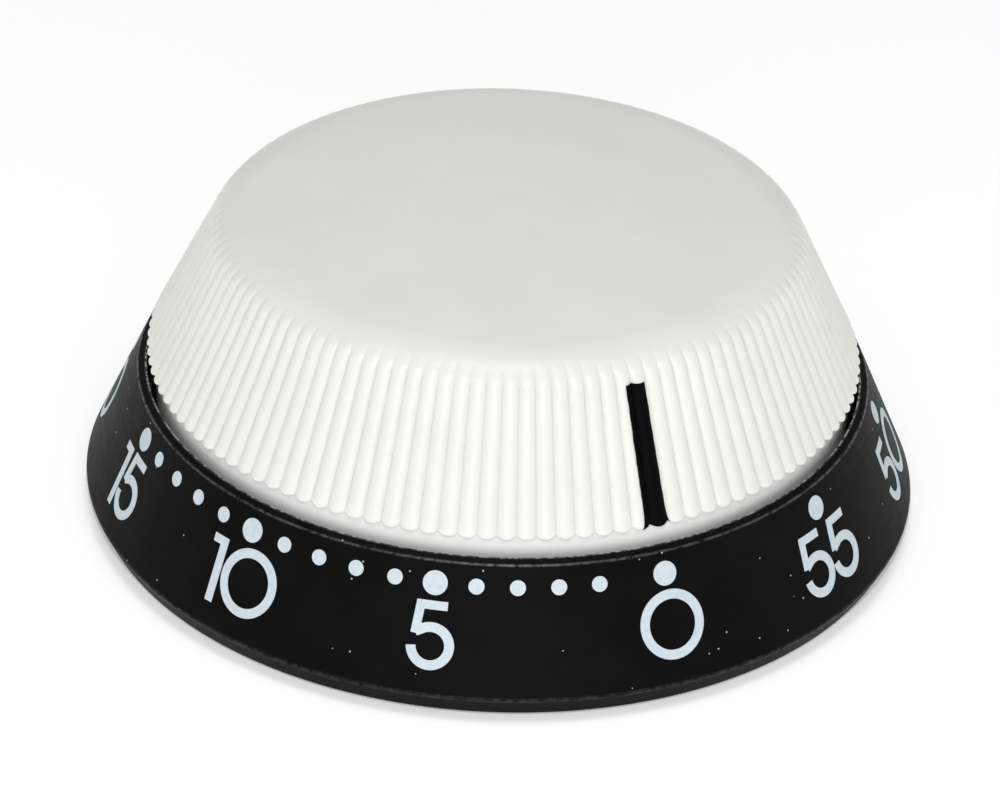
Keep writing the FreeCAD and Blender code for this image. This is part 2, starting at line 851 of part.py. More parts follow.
def make_ratchet_and_click():
    """The ratchet wheel on the arbor, and the click with its rivet and spring on the great wheel."""
    low = ratchet_low()
    high = low + size.click_thickness
    ratchet = turned("ratchet_wheel", ring(size.arbor_radius, size.ratchet_radius, low, high))
    pitch = 360 / size.ratchet_teeth
    root = size.ratchet_radius - size.ratchet_tooth_depth
    saw = [polar(root, 0), polar(size.ratchet_radius * 1.05, 0),
           polar(size.ratchet_radius * 1.05, pitch * 0.9), polar(size.ratchet_radius, pitch * 0.9)]
    around(ratchet, cut_down(ratchet, lambda sketch: outline(sketch, saw), high, high - low, "teeth"),
           size.ratchet_teeth)
    place(ratchet, angle=second_angle)

    pivot = size.click_pivot_circle
    nose = size.ratchet_radius - size.ratchet_tooth_depth + size.part_gap / 2
    half = size.click_pivot_radius * 2
    click = new_body("click")

    def lever(sketch):
        nose_end = polar(nose, 1.5)
        nose_back = polar(size.ratchet_radius + size.part_gap, pitch * 0.75)
        outline(sketch, [(pivot + half, -half), (pivot + half, half), (pivot - half / 2, half * 1.6),
                         nose_back, nose_end, (size.ratchet_radius + size.part_gap, nose_end[1]),
                         (pivot - half, -half)])

    def hole(sketch):
        circle(sketch, (pivot, 0), size.click_pivot_radius)

    raise_pad(click, lever, low, high - low, "lever")
    cut_down(click, hole, high, high - low, "hole")
    place(click, angle=second_angle)

    rivet = turned("click_rivet", [
        (0, lower_face + size.great_level), (size.click_pivot_radius, lower_face + size.great_level),
        (size.click_pivot_radius, high), (size.click_pivot_radius * 1.5, high),
        (size.click_pivot_radius * 1.5, high + size.part_gap), (0, high + size.part_gap),
    ])
    place(rivet, polar(pivot, second_angle), 0)

    spring = new_body("click_spring")

    def blade(sketch):
        thin = size.spring_strip
        outer = pivot + half + size.running_gap
        outline(sketch, [(outer, -half), (outer + thin, -half), (outer + thin, half * 2.6),
                         (pivot - half, half * 3.4), (pivot - half, half * 3.4 - thin),
                         (outer, half * 2.6 - thin)])

    raise_pad(spring, blade, low, high - low, "blade")
    place(spring, angle=second_angle)


def spring_outer_radius():
    """The radius that the mainspring's outer turn reaches."""
    return size.arbor_radius + size.running_gap + size.spring_pitch * size.spring_turns + size.spring_strip


def spring_post_place():
    """Where the mainspring's outer end is hooked."""
    return polar(spring_outer_radius() + size.spring_post_radius, second_angle + 180)


def spiral_edges(start_radius, backwards):
    """Half-turn arcs that wind outwards by half a pitch each, from the main axis."""
    pitch = float(sheet.get("spring_pitch"))
    turns = int(sheet.get("spring_turns"))
    edges = []
    left = -start_radius
    side = -1
    for half_turn in range(2 * turns):
        radius = start_radius + pitch / 4 + half_turn * pitch / 2
        centre = left - side * radius
        right = centre - side * radius
        middle = Vector(centre, -side * radius, 0)
        edges.append(Part.Arc(Vector(left, 0, 0), middle, Vector(right, 0, 0)).toShape())
        left = right
        side = -side
    return list(reversed(edges)) if backwards else edges


def make_mainspring():
    """The flat spiral spring between the arbor and the post."""
    strip = float(sheet.get("spring_strip"))
    start = float(sheet.get("arbor_radius")) + float(sheet.get("running_gap"))
    inner = spiral_edges(start, False)
    outer = spiral_edges(start + strip, True)
    ends = [Part.LineSegment(inner[-1].lastVertex(True).Point, outer[0].lastVertex(True).Point),
            Part.LineSegment(inner[0].firstVertex(True).Point, outer[-1].firstVertex(True).Point)]
    wire = Part.Wire(Part.__sortEdges__(inner + outer + [line.toShape() for line in ends]))
    strip_face = Part.Face(wire)
    body = document.addObject("Part::Feature", "mainspring")
    body.Label = "mainspring"
    body.Shape = strip_face.extrude(Vector(0, 0, float(sheet.get("spring_width"))))
    low = lower_face + size.spring_level
    body.Placement = Placement(Vector(0, 0, low.value), Rotation(Vector(0, 0, 1), second_angle.value))
    body.setExpression("Placement.Base.z", low.formula)
    body.setExpression("Placement.Rotation.Angle", second_angle.formula)
    nodes.append(body)


def make_spring_post():
    """The post riveted in the upper plate that holds the mainspring's outer end."""
    low = lower_face + size.spring_level
    post = turned("spring_post", rod(size.spring_post_radius, low, upper_face))
    place(post, spring_post_place(), 0)


# ----------------------------------------------------------------------------------------- going train


def make_arbor(name, position):
    """A steel arbor with a thinner pivot at each end."""
    low = lower_face + size.part_gap / 2
    high = size.top_plate_height - size.part_gap / 2
    body = turned(name, [
        (0, size.bottom_plate_height + size.running_gap),
        (size.pivot_radius, size.bottom_plate_height + size.running_gap), (size.pivot_radius, low),
        (size.shaft_radius, low), (size.shaft_radius, high), (size.pivot_radius, high),
        (size.pivot_radius, upper_face - size.running_gap), (0, upper_face - size.running_gap),
    ])
    return place(body, position, 0)


def make_pinion(name, leaves, module, position, low, high, angle):
    """A pinion pressed on an arbor."""
    tip = tip_radius(leaves, module, PINION_LEAVES)
    body = turned(name, ring(size.shaft_radius, tip, low, high))
    cut_teeth(body, leaves, module, low, high, PINION_LEAVES)
    return place(body, position, angle)


def make_wheel(name, teeth, module, position, low, angle):
    """A thin brass wheel with five openings between its spokes, pressed on an arbor."""
    high = low + size.wheel_thickness
    tip = tip_radius(teeth, module, WHEEL_TEETH)
    body = turned(name, ring(size.shaft_radius, tip, low, high))
    cut_teeth(body, teeth, module, low, high, WHEEL_TEETH)
    rim = module * teeth / 2 - module * 4
    hub = size.shaft_radius * 3

    def opening(sketch):
        outline(sketch, [polar(hub, -22), polar(rim, -27), polar(rim * 1.03, 0), polar(rim, 27),
                         polar(hub, 22)])

    around(body, cut_down(body, opening, high, size.wheel_thickness, "openings"), 5)
    return place(body, position, angle)


def make_train():
    """Second, third and escape arbors with their pinions and wheels, in mesh at rest."""
    great_low = lower_face + size.great_level
    second_low = lower_face + size.second_level
    third_low = lower_face + size.third_level
    escape_low = lower_face + size.escape_level
    reach = size.part_gap * 2
    third_bearing = direction(second_place, third_place)
    escape_bearing = direction(third_place, escape_place)
    balance_bearing = direction(escape_place, balance_place)

    make_arbor("second_arbor", second_place)
    make_pinion("second_pinion", size.second_leaves, size.great_module, second_place,
                great_low - reach, great_low + size.wheel_thickness + reach,
                second_angle + 180 - 180 / size.second_leaves)
    make_wheel("second_wheel", size.second_teeth, size.second_module, second_place, second_low,
               third_bearing)
    make_arbor("third_arbor", third_place)
    make_pinion("third_pinion", size.third_leaves, size.second_module, third_place,
                second_low - reach, second_low + size.wheel_thickness + reach,
                third_bearing + 180 - 180 / size.third_leaves)
    make_wheel("third_wheel", size.third_teeth, size.third_module, third_place, third_low,
               escape_bearing)
    make_arbor("escape_arbor", escape_place)
    make_pinion("escape_pinion", size.escape_leaves, size.third_module, escape_place,
                third_low - reach, third_low + size.wheel_thickness + reach,
                escape_bearing + 180 - 180 / size.escape_leaves)
    escape = turned("escape_wheel", ring(size.shaft_radius, size.escape_radius,
                                         escape_low, escape_low + size.wheel_thickness))
    pitch = 360 / size.escape_teeth
    root = size.escape_radius - size.escape_tooth_depth
    saw = [polar(root, pitch * 0.2), polar(size.escape_radius * 1.05, pitch * 0.08),
           polar(size.escape_radius * 1.05, pitch * 0.92), polar(root, pitch * 0.6)]
    around(escape, cut_down(escape, lambda sketch: outline(sketch, saw),
                            escape_low + size.wheel_thickness, size.wheel_thickness, "teeth"),
           size.escape_teeth)
    place(escape, escape_place, balance_bearing)


def direction(start, end):
    """The bearing in degrees from one place to another."""
    across = end[0] - start[0]
    along = end[1] - start[1]
    value = math.degrees(math.atan2(along.value, across.value))
    return Size(value, f"(atan2({along.formula}; {across.formula}) / 1 deg)")


def make_balance():
    """The balance staff with its wheel, and the pallet lever with two upright pins."""
    make_arbor("balance_staff", balance_place)
    level = lower_face + size.balance_level
    high = level + size.wheel_thickness
    balance = turned("balance_wheel", ring(size.shaft_radius, size.balance_radius, level, high))

    def opening(sketch):
        rim = size.balance_radius - size.balance_rim
        hub = size.shaft_radius * 2
        outline(sketch, [polar(hub, -50), polar(rim, -70), polar(rim, -35), polar(rim, 0),
                         polar(rim, 35), polar(rim, 70), polar(hub, 50)])

    around(balance, cut_down(balance, opening, high, size.wheel_thickness, "openings"), 2)
    place(balance, balance_place, escape_angle)

    lever = new_body("pallet_lever")
    swing = pin_circle * of_angle("tan", pallet_angle)
    spread = 90 - pallet_angle
    low = lower_face + size.escape_level + size.wheel_thickness + size.part_gap / 2
    arm = size.pallet_pin_radius * 2

    def plate(sketch):
        outline(sketch, [polar(arm * 3, 180), polar(swing + arm, -spread - 6),
                         polar(swing + arm, -spread + 8), polar(arm * 3.4, 0),
                         polar(swing + arm, spread - 8), polar(swing + arm, spread + 6)])

    def bore(sketch):
        circle(sketch, (0, 0), size.shaft_radius)

    def pins(sketch):
        for side in (-1, 1):
            circle(sketch, polar(swing, spread * side), size.pallet_pin_radius)

    raise_pad(lever, plate, low, size.wheel_thickness, "plate")
    cut_down(lever, bore, low + size.wheel_thickness, size.wheel_thickness, "bore")
    depth = size.wheel_thickness + size.part_gap
    raise_pad(lever, pins, low - depth, depth + size.running_gap, "pins")
    place(lever, balance_place, direction(balance_place, escape_place))


# ------------------------------------------------------------------------------- stop, strike and bell


def make_stop_and_cam():
    """The cam that frees the hammer at zero, and the arm that ends the knob's turn on the tab."""
    cam = turned("trip_cam", ring(size.arbor_radius, size.cam_radius, cam_level,
                                  cam_level + size.cam_thickness))

    def notch(sketch):
        half = size.cam_notch_width / 2
        depth = size.cam_radius - size.cam_notch_depth
        outline(sketch, [(depth, -half / 2), (size.cam_radius * 1.1, -half),
                         (size.cam_radius * 1.1, half), (depth, half)])

    cut_down(cam, notch, cam_level + size.cam_thickness, size.cam_thickness, "notch")
    place(cam, angle=size.hammer_angle)

    arm = new_body("stop_arm")
    half = size.stop_arm_width / 2

    def lever(sketch):
        circle(sketch, (0, 0), size.arbor_radius * 2)

    def bar(sketch):
        outline(sketch, [(size.arbor_radius * 1.2, -half), (size.stop_arm_radius, -half),
                         (size.stop_arm_radius, half), (size.arbor_radius * 1.2, half)])

    def bore(sketch):
        circle(sketch, (0, 0), size.arbor_radius)

    raise_pad(arm, lever, stop_level, size.cam_thickness, "boss")
    raise_pad(arm, bar, stop_level, size.cam_thickness, "bar")
    cut_down(arm, bore, stop_level + size.cam_thickness, size.cam_thickness, "bore")
    place(arm, angle=size.stop_angle - stop_clearance_angle())


def stop_clearance_angle():
    """How far the stop arm stands off its tab at zero."""
    return size.stop_arm_width / size.stop_tab_circle * 180 / math.pi + 0.5


def make_hammer():
    """The hammer's upright shaft, its trip lever, its arm and its head."""
    shaft_low = bell_bottom + size.part_gap
    shaft_high = stop_level
    shaft = turned("hammer_shaft", rod(size.hammer_shaft_radius, shaft_low, shaft_high))
    place(shaft, hammer_place, 0)

    inward = size.hammer_angle + 180
    trip = new_body("trip_lever")
    reach = size.hammer_circle - size.cam_radius - size.part_gap
    half = size.hammer_arm_width / 2

    def hub(sketch):
        circle(sketch, (0, 0), size.hammer_shaft_radius * 2)

    def bore(sketch):
        circle(sketch, (0, 0), size.hammer_shaft_radius)

    def nose(sketch):
        outline(sketch, [(size.hammer_shaft_radius * 1.3, -half), (reach, -half / 2), (reach, half / 2),
                         (size.hammer_shaft_radius * 1.3, half)])

    raise_pad(trip, hub, cam_level, size.cam_thickness, "hub")
    raise_pad(trip, nose, cam_level, size.cam_thickness, "nose")
    cut_down(trip, bore, cam_level + size.cam_thickness, size.cam_thickness, "bore")
    place(trip, hammer_place, inward)

    middle = bell_top - size.hammer_head_height / 2
    arm = new_body("hammer_arm")

    def arm_bar(sketch):
        outline(sketch, [(size.hammer_shaft_radius * 1.3, -half), (size.hammer_arm_length, -half),
                         (size.hammer_arm_length, half), (size.hammer_shaft_radius * 1.3, half)])

    def head_bore(sketch):
        circle(sketch, (size.hammer_arm_length, 0), size.hammer_head_radius / 2)

    raise_pad(arm, hub, middle, size.wheel_thickness, "hub")
    raise_pad(arm, arm_bar, middle, size.wheel_thickness, "bar")
    cut_down(arm, bore, middle + size.wheel_thickness, size.wheel_thickness, "bore")
    cut_down(arm, head_bore, middle + size.wheel_thickness, size.wheel_thickness, "head_bore")
    place(arm, hammer_place, hammer_bearing())

    head = turned("hammer_head", [
        (0, middle - size.hammer_head_height / 2),
        (size.hammer_head_radius, middle - size.hammer_head_height / 2), (size.hammer_head_radius, middle),
        (size.hammer_head_radius / 2, middle), (size.hammer_head_radius / 2, middle + size.wheel_thickness),
        (0, middle + size.wheel_thickness),
    ])
    x = hammer_place[0] + size.hammer_arm_length * of_angle("cos", hammer_bearing())
    y = hammer_place[1] + size.hammer_arm_length * of_angle("sin", hammer_bearing())
    place(head, (x, y), 0)


def make_hammer_spring():
    """The flat spring behind the hammer's arm, on its own post under the lower plate."""
    body = new_body("hammer_spring")
    strip = size.spring_strip
    back = size.hammer_spring_back
    side = size.hammer_shaft_radius * 2 + size.part_gap
    near = size.hammer_arm_width / 2 + size.part_gap
    low = bell_top - size.hammer_head_height / 2

    def blade(sketch):
        bend = size.hammer_spring_reach - 2
        outline(sketch, [(-back, -strip), (-side, -side), (bend, -side),
                         (size.hammer_spring_reach, -near), (size.hammer_spring_reach, -near - strip),
                         (bend, -side - strip), (-side - strip / 2, -side - strip),
                         (-back - strip, -strip * 2)])

    def post(sketch):
        circle(sketch, (-back, 0), size.hammer_spring_post_radius)

    raise_pad(body, blade, low, size.wheel_thickness, "blade")
    raise_pad(body, post, low, size.bottom_plate_height - low, "post")
    place(body, hammer_place, hammer_bearing())


def hammer_bearing():
    """The bearing of the hammer's arm at rest."""
    return size.hammer_angle + 95


def make_bell():
    """The steel bell with its post under the lower plate and the screw that holds it."""
    sheet_size = size.bell_sheet
    crown, bend, wall = [(size.bell_radius * across, bell_bottom + size.bell_height * up)
                         for across, up in BELL_CURVE]
    bell = turned("bell", [
        (size.bell_post_radius / 2, bell_bottom), crown, bend, wall,
        (size.bell_radius, bell_top), (size.bell_radius - sheet_size, bell_top),
        (wall[0] - sheet_size, wall[1]), (bend[0] - sheet_size, bend[1] + sheet_size / 3),
        (crown[0] - sheet_size / 3, crown[1] + sheet_size),
        (size.bell_post_radius / 2, bell_bottom + sheet_size),
    ])
    place(bell, bell_centre, 0)
    screw_end = bell_bottom + sheet_size + size.bell_height / 2
    post = turned("bell_post", [
        (0, screw_end), (size.bell_post_radius / 2, screw_end),
        (size.bell_post_radius / 2, bell_bottom + sheet_size),
        (size.bell_post_radius, bell_bottom + sheet_size),
        (size.bell_post_radius, size.bottom_plate_height),
        (size.bell_post_radius / 2, size.bottom_plate_height),
        (size.bell_post_radius / 2, lower_face), (0, lower_face),
    ])
    place(post, bell_centre, 0)
    screw = turned("bell_screw", [
        (0, bell_bottom - size.part_gap * 2), (size.bell_screw_head_radius, bell_bottom - size.part_gap * 2),
        (size.bell_screw_head_radius, bell_bottom), (size.bell_post_radius / 2, bell_bottom),
        (size.bell_post_radius / 2, screw_end), (0, screw_end),
    ])
    place(screw, bell_centre, 0)


make_base_housing()
make_back_cover()
make_cover_screws()
make_knob()
make_top_plate()
make_bottom_plate()
make_frame_fasteners()
make_main_arbor()
make_great_wheel()
make_ratchet_and_click()
make_mainspring()
make_spring_post()
make_train()
make_balance()
make_stop_and_cam()
make_hammer()
make_hammer_spring()
make_bell()
document.recompute()

for item in document.Objects:
    if "Invalid" in item.State or "Error" in item.State:
        raise RuntimeError(f"{item.Label} could not be worked out")
os.makedirs("parts", exist_ok=True)
for node in nodes:
    if node.Shape.isNull() or not node.Shape.isValid():
        raise RuntimeError(f"{node.Label} has no valid shape")
    node.Shape.exportStep(f"parts/{node.Label}.step")
    print(f"{node.Label}: {len(node.Shape.Solids)} solids, {node.Shape.Volume:.1f} mm3")
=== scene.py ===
import json
import math

import bpy
from mathutils import Matrix, Vector


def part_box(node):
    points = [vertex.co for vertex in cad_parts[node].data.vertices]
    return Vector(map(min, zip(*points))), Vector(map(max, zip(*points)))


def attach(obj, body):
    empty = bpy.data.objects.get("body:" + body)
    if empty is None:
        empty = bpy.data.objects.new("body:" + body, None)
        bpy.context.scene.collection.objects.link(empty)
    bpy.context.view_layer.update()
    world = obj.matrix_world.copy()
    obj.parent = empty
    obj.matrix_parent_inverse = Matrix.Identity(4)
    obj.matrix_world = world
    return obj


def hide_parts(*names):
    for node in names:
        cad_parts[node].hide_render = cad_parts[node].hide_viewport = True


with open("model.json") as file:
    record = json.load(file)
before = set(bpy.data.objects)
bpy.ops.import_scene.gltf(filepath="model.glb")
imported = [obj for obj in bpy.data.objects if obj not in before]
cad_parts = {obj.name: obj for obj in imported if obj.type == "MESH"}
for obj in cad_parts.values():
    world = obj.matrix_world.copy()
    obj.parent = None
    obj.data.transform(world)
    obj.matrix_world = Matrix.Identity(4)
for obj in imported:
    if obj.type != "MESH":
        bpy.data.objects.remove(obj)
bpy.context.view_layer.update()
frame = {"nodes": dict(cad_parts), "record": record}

# The finish of a clockwork kitchen timer: the ribbed knob, the black base with its printed dial,
# and the materials of every piece. Metres, in the part's own frame: +Z up, the origin in the
# middle of the face that it rests on, and -Y through the 0 mark. Angles on the dial are measured
# from the 0 mark, anticlockwise seen from above.

MM = 0.001

# ------------------------------------------------------------------------------------------ sizes

housing_low, housing_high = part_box("base_housing")
knob_low, knob_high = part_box("knob")
cover_low, cover_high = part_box("back_cover")
arbor_low, arbor_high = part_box("main_arbor")

base_radius = housing_high.x
base_ground_gap = housing_low.z
base_band_height = 2.27 * MM
base_foot_inset = 0.95 * MM
lip_radius = 34.09 * MM
lip_height = 13.25 * MM
lip_width = 0.87 * MM
lip_rise = 0.34 * MM
base_wall = 2.0 * MM
channel_floor = 9.0 * MM
turret_radius = 30.02 * MM
turret_wall = 1.8 * MM
roof_top = housing_high.z
roof_thickness = 1.6 * MM
roof_bore = 6.5 * MM
cover_seat = cover_high.x + 0.15 * MM
cover_ledge = 1.0 * MM

knob_radius = knob_high.x
knob_top = knob_high.z - 0.01 * MM
knob_edge = 15.48 * MM
knob_slope = math.radians(90 - 25.93)
knob_lean = 1 / math.tan(knob_slope)
shoulder_round = 2.9 * MM
shoulder_slope = math.radians(31.7)
dome_round = 7.15 * MM
dome_slope = math.radians(3.8)
crown_edge = 23.2 * MM
# The round mark in the middle of the top: radii and heights over the crown, in millimetres.
centre_mark = ((0, 0.03), (0.8, 0.026), (1.5, 0.005), (2.1, -0.028), (2.7, -0.048), (3.3, -0.045),
               (4.2, -0.012))
centre_rise = 0.03 * MM
neck_radius = 32.42 * MM
neck_wall = 1.6 * MM
knob_wall = 2.2 * MM
knob_ceiling = knob_top - 3.2 * MM
hub_radius = 4.6 * MM
hub_bottom = knob_ceiling - 3.2 * MM
hub_bore = 2.5 * MM
rib_count = 120
groove_depth = 0.38 * MM
# Degrees from the 0 mark to a groove, and the power by which its depth falls off beside it.
groove_at = 1.8
lobe = 2.1
# The ribs' foot: how far its rim hangs, how far it slopes up to the neck, how much higher the grooves
# end there, and over what height. The grooves run out so far below the top.
foot_drop = 0.25 * MM
foot_rise = 0.30 * MM
notch_rise = 0.20 * MM
notch_height = 0.8 * MM
grooves_end = 1.55 * MM

dial_slope = math.atan2(base_radius - lip_radius, lip_height - base_band_height)
# How thick the print is, and how near to each other two points are to count as one.
ink = 0.03 * MM
weld = 0.0005 * MM

# How much an edge is rubbed, from 0 to 1: it is made lighter and glossier, partly from rubbing and partly as
# a painted highlight.
# An edge marked higher also gets light chips and painted glints.
lip_wear_and_highlight = 1.0
chip_and_glint_level = 2.0
band_wear_and_highlight = 0.25
band_reach = 1 * MM


def knob_cone(height):
    """The knob's radius over its ribs at a height."""
    return knob_radius - (height - knob_edge) * knob_lean


# ------------------------------------------------------------------------------------------ nodes


def add(tree, kind, *values, **settings):
    """A node with its settings, whose inputs take the values in turn: a socket is joined to it."""
    node = tree.nodes.new(kind)
    for name, setting in settings.items():
        setattr(node, name, setting)
    for socket, value in zip([s for s in node.inputs if s.enabled], values):
        if isinstance(value, bpy.types.NodeSocket):
            tree.links.new(value, socket)
        elif value is not None:
            socket.default_value = value
    return node


def out(node, place=0):
    """One of the outputs that a node shows."""
    return [s for s in node.outputs if s.enabled][place]


def reckon(tree, operation, *values):
    """The result of one step of arithmetic."""
    return out(add(tree, "ShaderNodeMath", *values, operation=operation))


def new_tree(name, sockets):
    """An empty geometry tree with its named inputs, and those inputs."""
    tree = bpy.data.node_groups.new(name, "GeometryNodeTree")
    for label, kind in sockets:
        tree.interface.new_socket(name=label, in_out="INPUT", socket_type="NodeSocket" + kind)
    tree.interface.new_socket(name="Geometry", in_out="OUTPUT", socket_type="NodeSocketGeometry")
    entrance = tree.nodes.new("NodeGroupInput")
    return tree, {label: entrance.outputs[label] for label, kind in sockets}


def slab(tree, sheet, thickness):
    """A sheet with its copy raised along its normals and walls between them. Its seams are not yet merged."""
    raised = out(add(tree, "GeometryNodeExtrudeMesh", sheet, None, None, thickness, False, mode="FACES"))
    under = out(add(tree, "GeometryNodeFlipFaces", sheet))
    both = tree.nodes.new("GeometryNodeJoinGeometry")
    tree.links.new(raised, both.inputs[0])
    tree.links.new(under, both.inputs[0])
    return out(both)


def close_tree(tree, geometry, material):
    """Ends a tree: instances made real, the material given, the result handed out."""
    real = out(add(tree, "GeometryNodeRealizeInstances", geometry))
    smooth = out(add(tree, "GeometryNodeSetShadeSmooth", real))
    turn_angle = out(add(tree, "GeometryNodeInputMeshEdgeAngle"))
    corner = reckon(tree, "GREATER_THAN", turn_angle, math.radians(32))
    smooth = out(add(tree, "GeometryNodeSetShadeSmooth", smooth, corner, False, domain="EDGE"))
    finished = out(add(tree, "GeometryNodeSetMaterial", smooth, None, material))
    add(tree, "NodeGroupOutput", finished)


def baked(piece, tree, sizes):
    """The piece with the tree's result as its plain mesh."""
    modifier = piece.modifiers.new(tree.name, "NODES")
    modifier.node_group = tree
    for item in tree.interface.items_tree:
        if item.in_out == "INPUT" and item.name in sizes:
            modifier[item.identifier] = sizes[item.name]
    depsgraph = bpy.context.evaluated_depsgraph_get()
    mesh = bpy.data.meshes.new_from_object(piece.evaluated_get(depsgraph), preserve_all_data_layers=True,
                                           depsgraph=depsgraph)
    piece.modifiers.clear()
    piece.data = mesh
    mesh.name = piece.name
    mesh.materials.clear()
    mesh.materials.append(sizes["Material"])
    mesh.polygons.foreach_set("material_index", [0] * len(mesh.polygons))
    return piece


def new_piece(name, points, edges=(), faces=()):
    """A mesh object at the origin."""
    mesh = bpy.data.meshes.new(name)
    mesh.from_pydata(points, edges, faces)
    piece = bpy.data.objects.new(name, mesh)
    bpy.context.scene.collection.objects.link(piece)
    return piece


# --------------------------------------------------------------------------------- turned profiles


def rounded(corners, steps=5, hold=0.12 * MM):
    """A profile through (radius, height, rounding) corners, and which of its points lie on a rounding.
    Points close by each rounding keep the flats flat."""
    line, on_arc = [], []
    for number, (radius, height, rounding) in enumerate(corners):
        here = Vector((radius, height))
        if not rounding:
            line.append(here)
            on_arc.append(0.0)
            continue
        before = (Vector(corners[number - 1][:2]) - here).normalized()
        after = (Vector(corners[number + 1][:2]) - here).normalized()
        half = before.angle(after) / 2
        reach = rounding / math.tan(half)
        middle = here + (before + after).normalized() * rounding / math.sin(half)
        start = here + before * reach - middle
        sweep = start.angle_signed(here + after * reach - middle)
        line.append(middle + start + before * hold)
        for step in range(steps + 1):
            arm = start.copy()
            arm.rotate(Matrix.Rotation(-sweep * step / steps, 2))
            line.append(middle + arm)
        line.append(here + after * (reach + hold))
        on_arc += [0.0] + [1.0] * (steps + 1) + [0.0]
    return line, on_arc


def arc_points(start, slopes, rounding, steps):
    """Points down a convex arc from a start, as its slope grows from the first to the second."""
    first, last = slopes
    points = []
    for step in range(1, steps + 1):
        slope = first + (last - first) * step / steps
        way = Vector((math.sin(slope) - math.sin(first), math.cos(slope) - math.cos(first)))
        points.append(start + way * rounding)
    return points


def base_profile():
    """The housing's section: dial, lip, channel, turret, and back under the dial."""
    lip_inner = lip_radius - lip_width
    deck = channel_floor - base_wall
    cone_inner = lip_radius + (lip_height - deck) * math.tan(dial_slope) - base_wall
    seat_top = cover_high.z
    turret_top = turret_radius - (roof_top - knob_edge) * knob_lean
    under_roof = roof_top - roof_thickness
    turret_inner = turret_radius - turret_wall
    line, on_arc = rounded([
        (cover_seat, base_ground_gap, 0),
        (base_radius - base_foot_inset, base_ground_gap, 0.2 * MM),
        (base_radius, base_band_height, 0.35 * MM),
        (lip_radius, lip_height, 0.12 * MM),
        (lip_inner, lip_height + lip_rise, 0.10 * MM),
        (lip_inner, channel_floor, 0.2 * MM),
        (turret_radius, channel_floor, 0.2 * MM),
        (turret_radius, knob_edge, 0.5 * MM),
        (turret_top, roof_top, 0.5 * MM),
        (roof_bore, roof_top, 0.15 * MM),
        (roof_bore, under_roof, 0.15 * MM),
        (turret_top - turret_wall, under_roof, 0),
        (turret_inner, knob_edge, 0),
        (turret_inner, deck, 0),
        (cone_inner, deck, 0),
        (cover_seat - cover_ledge, seat_top, 0),
        (cover_seat, seat_top, 0),
        (cover_seat, base_ground_gap, 0),
    ])
    # Above this height the lip's inner edge gets light chips and painted glints.
    chips_and_glints = lip_height + lip_rise / 2
    worn_and_highlit = []
    for p, mark in zip(line, on_arc):
        share = band_wear_and_highlight if p.y < base_band_height + band_reach else lip_wear_and_highlight
        worn_and_highlit.append(mark * (chip_and_glint_level if p.y > chips_and_glints and p.x > neck_radius else share))
    return line, {"lightening": worn_and_highlit}


def knob_top_line():
    """The knob's outside from the middle of its top down to the cone: a crown, two arcs, the cone's start."""
    across = (dome_round * (math.sin(shoulder_slope) - math.sin(dome_slope))
              + shoulder_round * (math.sin(knob_slope) - math.sin(shoulder_slope)))
    down = (dome_round * (math.cos(dome_slope) - math.cos(shoulder_slope))
            + shoulder_round * (math.cos(shoulder_slope) - math.cos(knob_slope)))
    cone_start = crown_edge + across
    edge_height = knob_edge + (knob_radius - cone_start) / knob_lean + down
    drop = knob_top - edge_height
    line = []
    for radius, swell in centre_mark + tuple((radius, 0) for radius in range(6, 24, 3)):
        crown = knob_top - drop * (radius * MM / crown_edge) ** 2
        line.append(Vector((radius * MM, crown - centre_rise + swell * MM)))
    edge = Vector((crown_edge, edge_height - centre_rise))
    line.append(edge)
    line += arc_points(edge, (dome_slope, shoulder_slope), dome_round, 8)
    line += arc_points(line[-1], (shoulder_slope, knob_slope), shoulder_round, 8)
    return line


def knob_profile():
    """The knob's section, from its bore outwards and up to the top, with how deep each point's grooves
    are cut and how far each point rises in them."""
    foot_low = knob_edge - foot_drop
    inside = rounded([
        (0, arbor_high.z + 0.15 * MM, 0),
        (hub_bore, arbor_high.z + 0.15 * MM, 0),
        (hub_bore, hub_bottom, 0),
        (hub_radius, hub_bottom, 0),
        (hub_radius, knob_ceiling, 0),
        (knob_cone(knob_ceiling) - knob_wall, knob_ceiling, 0),
        (knob_radius - knob_wall, knob_edge, 0),
        (neck_radius - neck_wall, knob_edge - 0.5 * MM, 0),
        (neck_radius - neck_wall, knob_low.z, 0),
        (neck_radius, knob_low.z, 0.25 * MM),
        (neck_radius, foot_low + foot_rise, 0),
    ], 3)[0]
    inside.append(Vector((neck_radius + 0.2 * MM, foot_low + foot_rise * 0.74)))
    foot = rounded([
        (neck_radius, foot_low + foot_rise, 0),
        (knob_radius, foot_low, 0.05 * MM),
        (knob_radius, knob_edge, 0),
    ], 4, 0)[0]
    outside = foot[2:-2] + foot[-1:]
    for share in (0.35, 0.6, 0.8, 1.0, 2.0):
        height = knob_edge + notch_height * share
        outside.append(Vector((knob_cone(height), height)))
    top = list(reversed(knob_top_line()))
    first, last = top[0].y, knob_top - grooves_end
    line = inside + outside + top
    cut = [0.0] * len(inside) + [groove_depth] * len(outside)
    cut += [groove_depth * min(1.0, max(0.0, (last - p.y) / (last - first))) ** 0.7 for p in top]
    rise = [0.0] * len(inside)
    rise += [notch_rise * max(0.0, 1 - (p.y - foot_low) / notch_height) for p in outside + top]
    # Painted light: the neck and the underside of the ribs' foot are marked to be coloured paler.
    neck_light_marks = [1.0 if neck_radius - neck_wall / 2 < p.x < knob_radius - 0.1 * MM else 0.0 for p in inside]
    neck_light_marks += [0.0] * (len(line) - len(neck_light_marks))
    return line, {"cut": cut, "rise": rise, "lightening": neck_light_marks}


profile_marks = ("cut", "rise", "lightening")


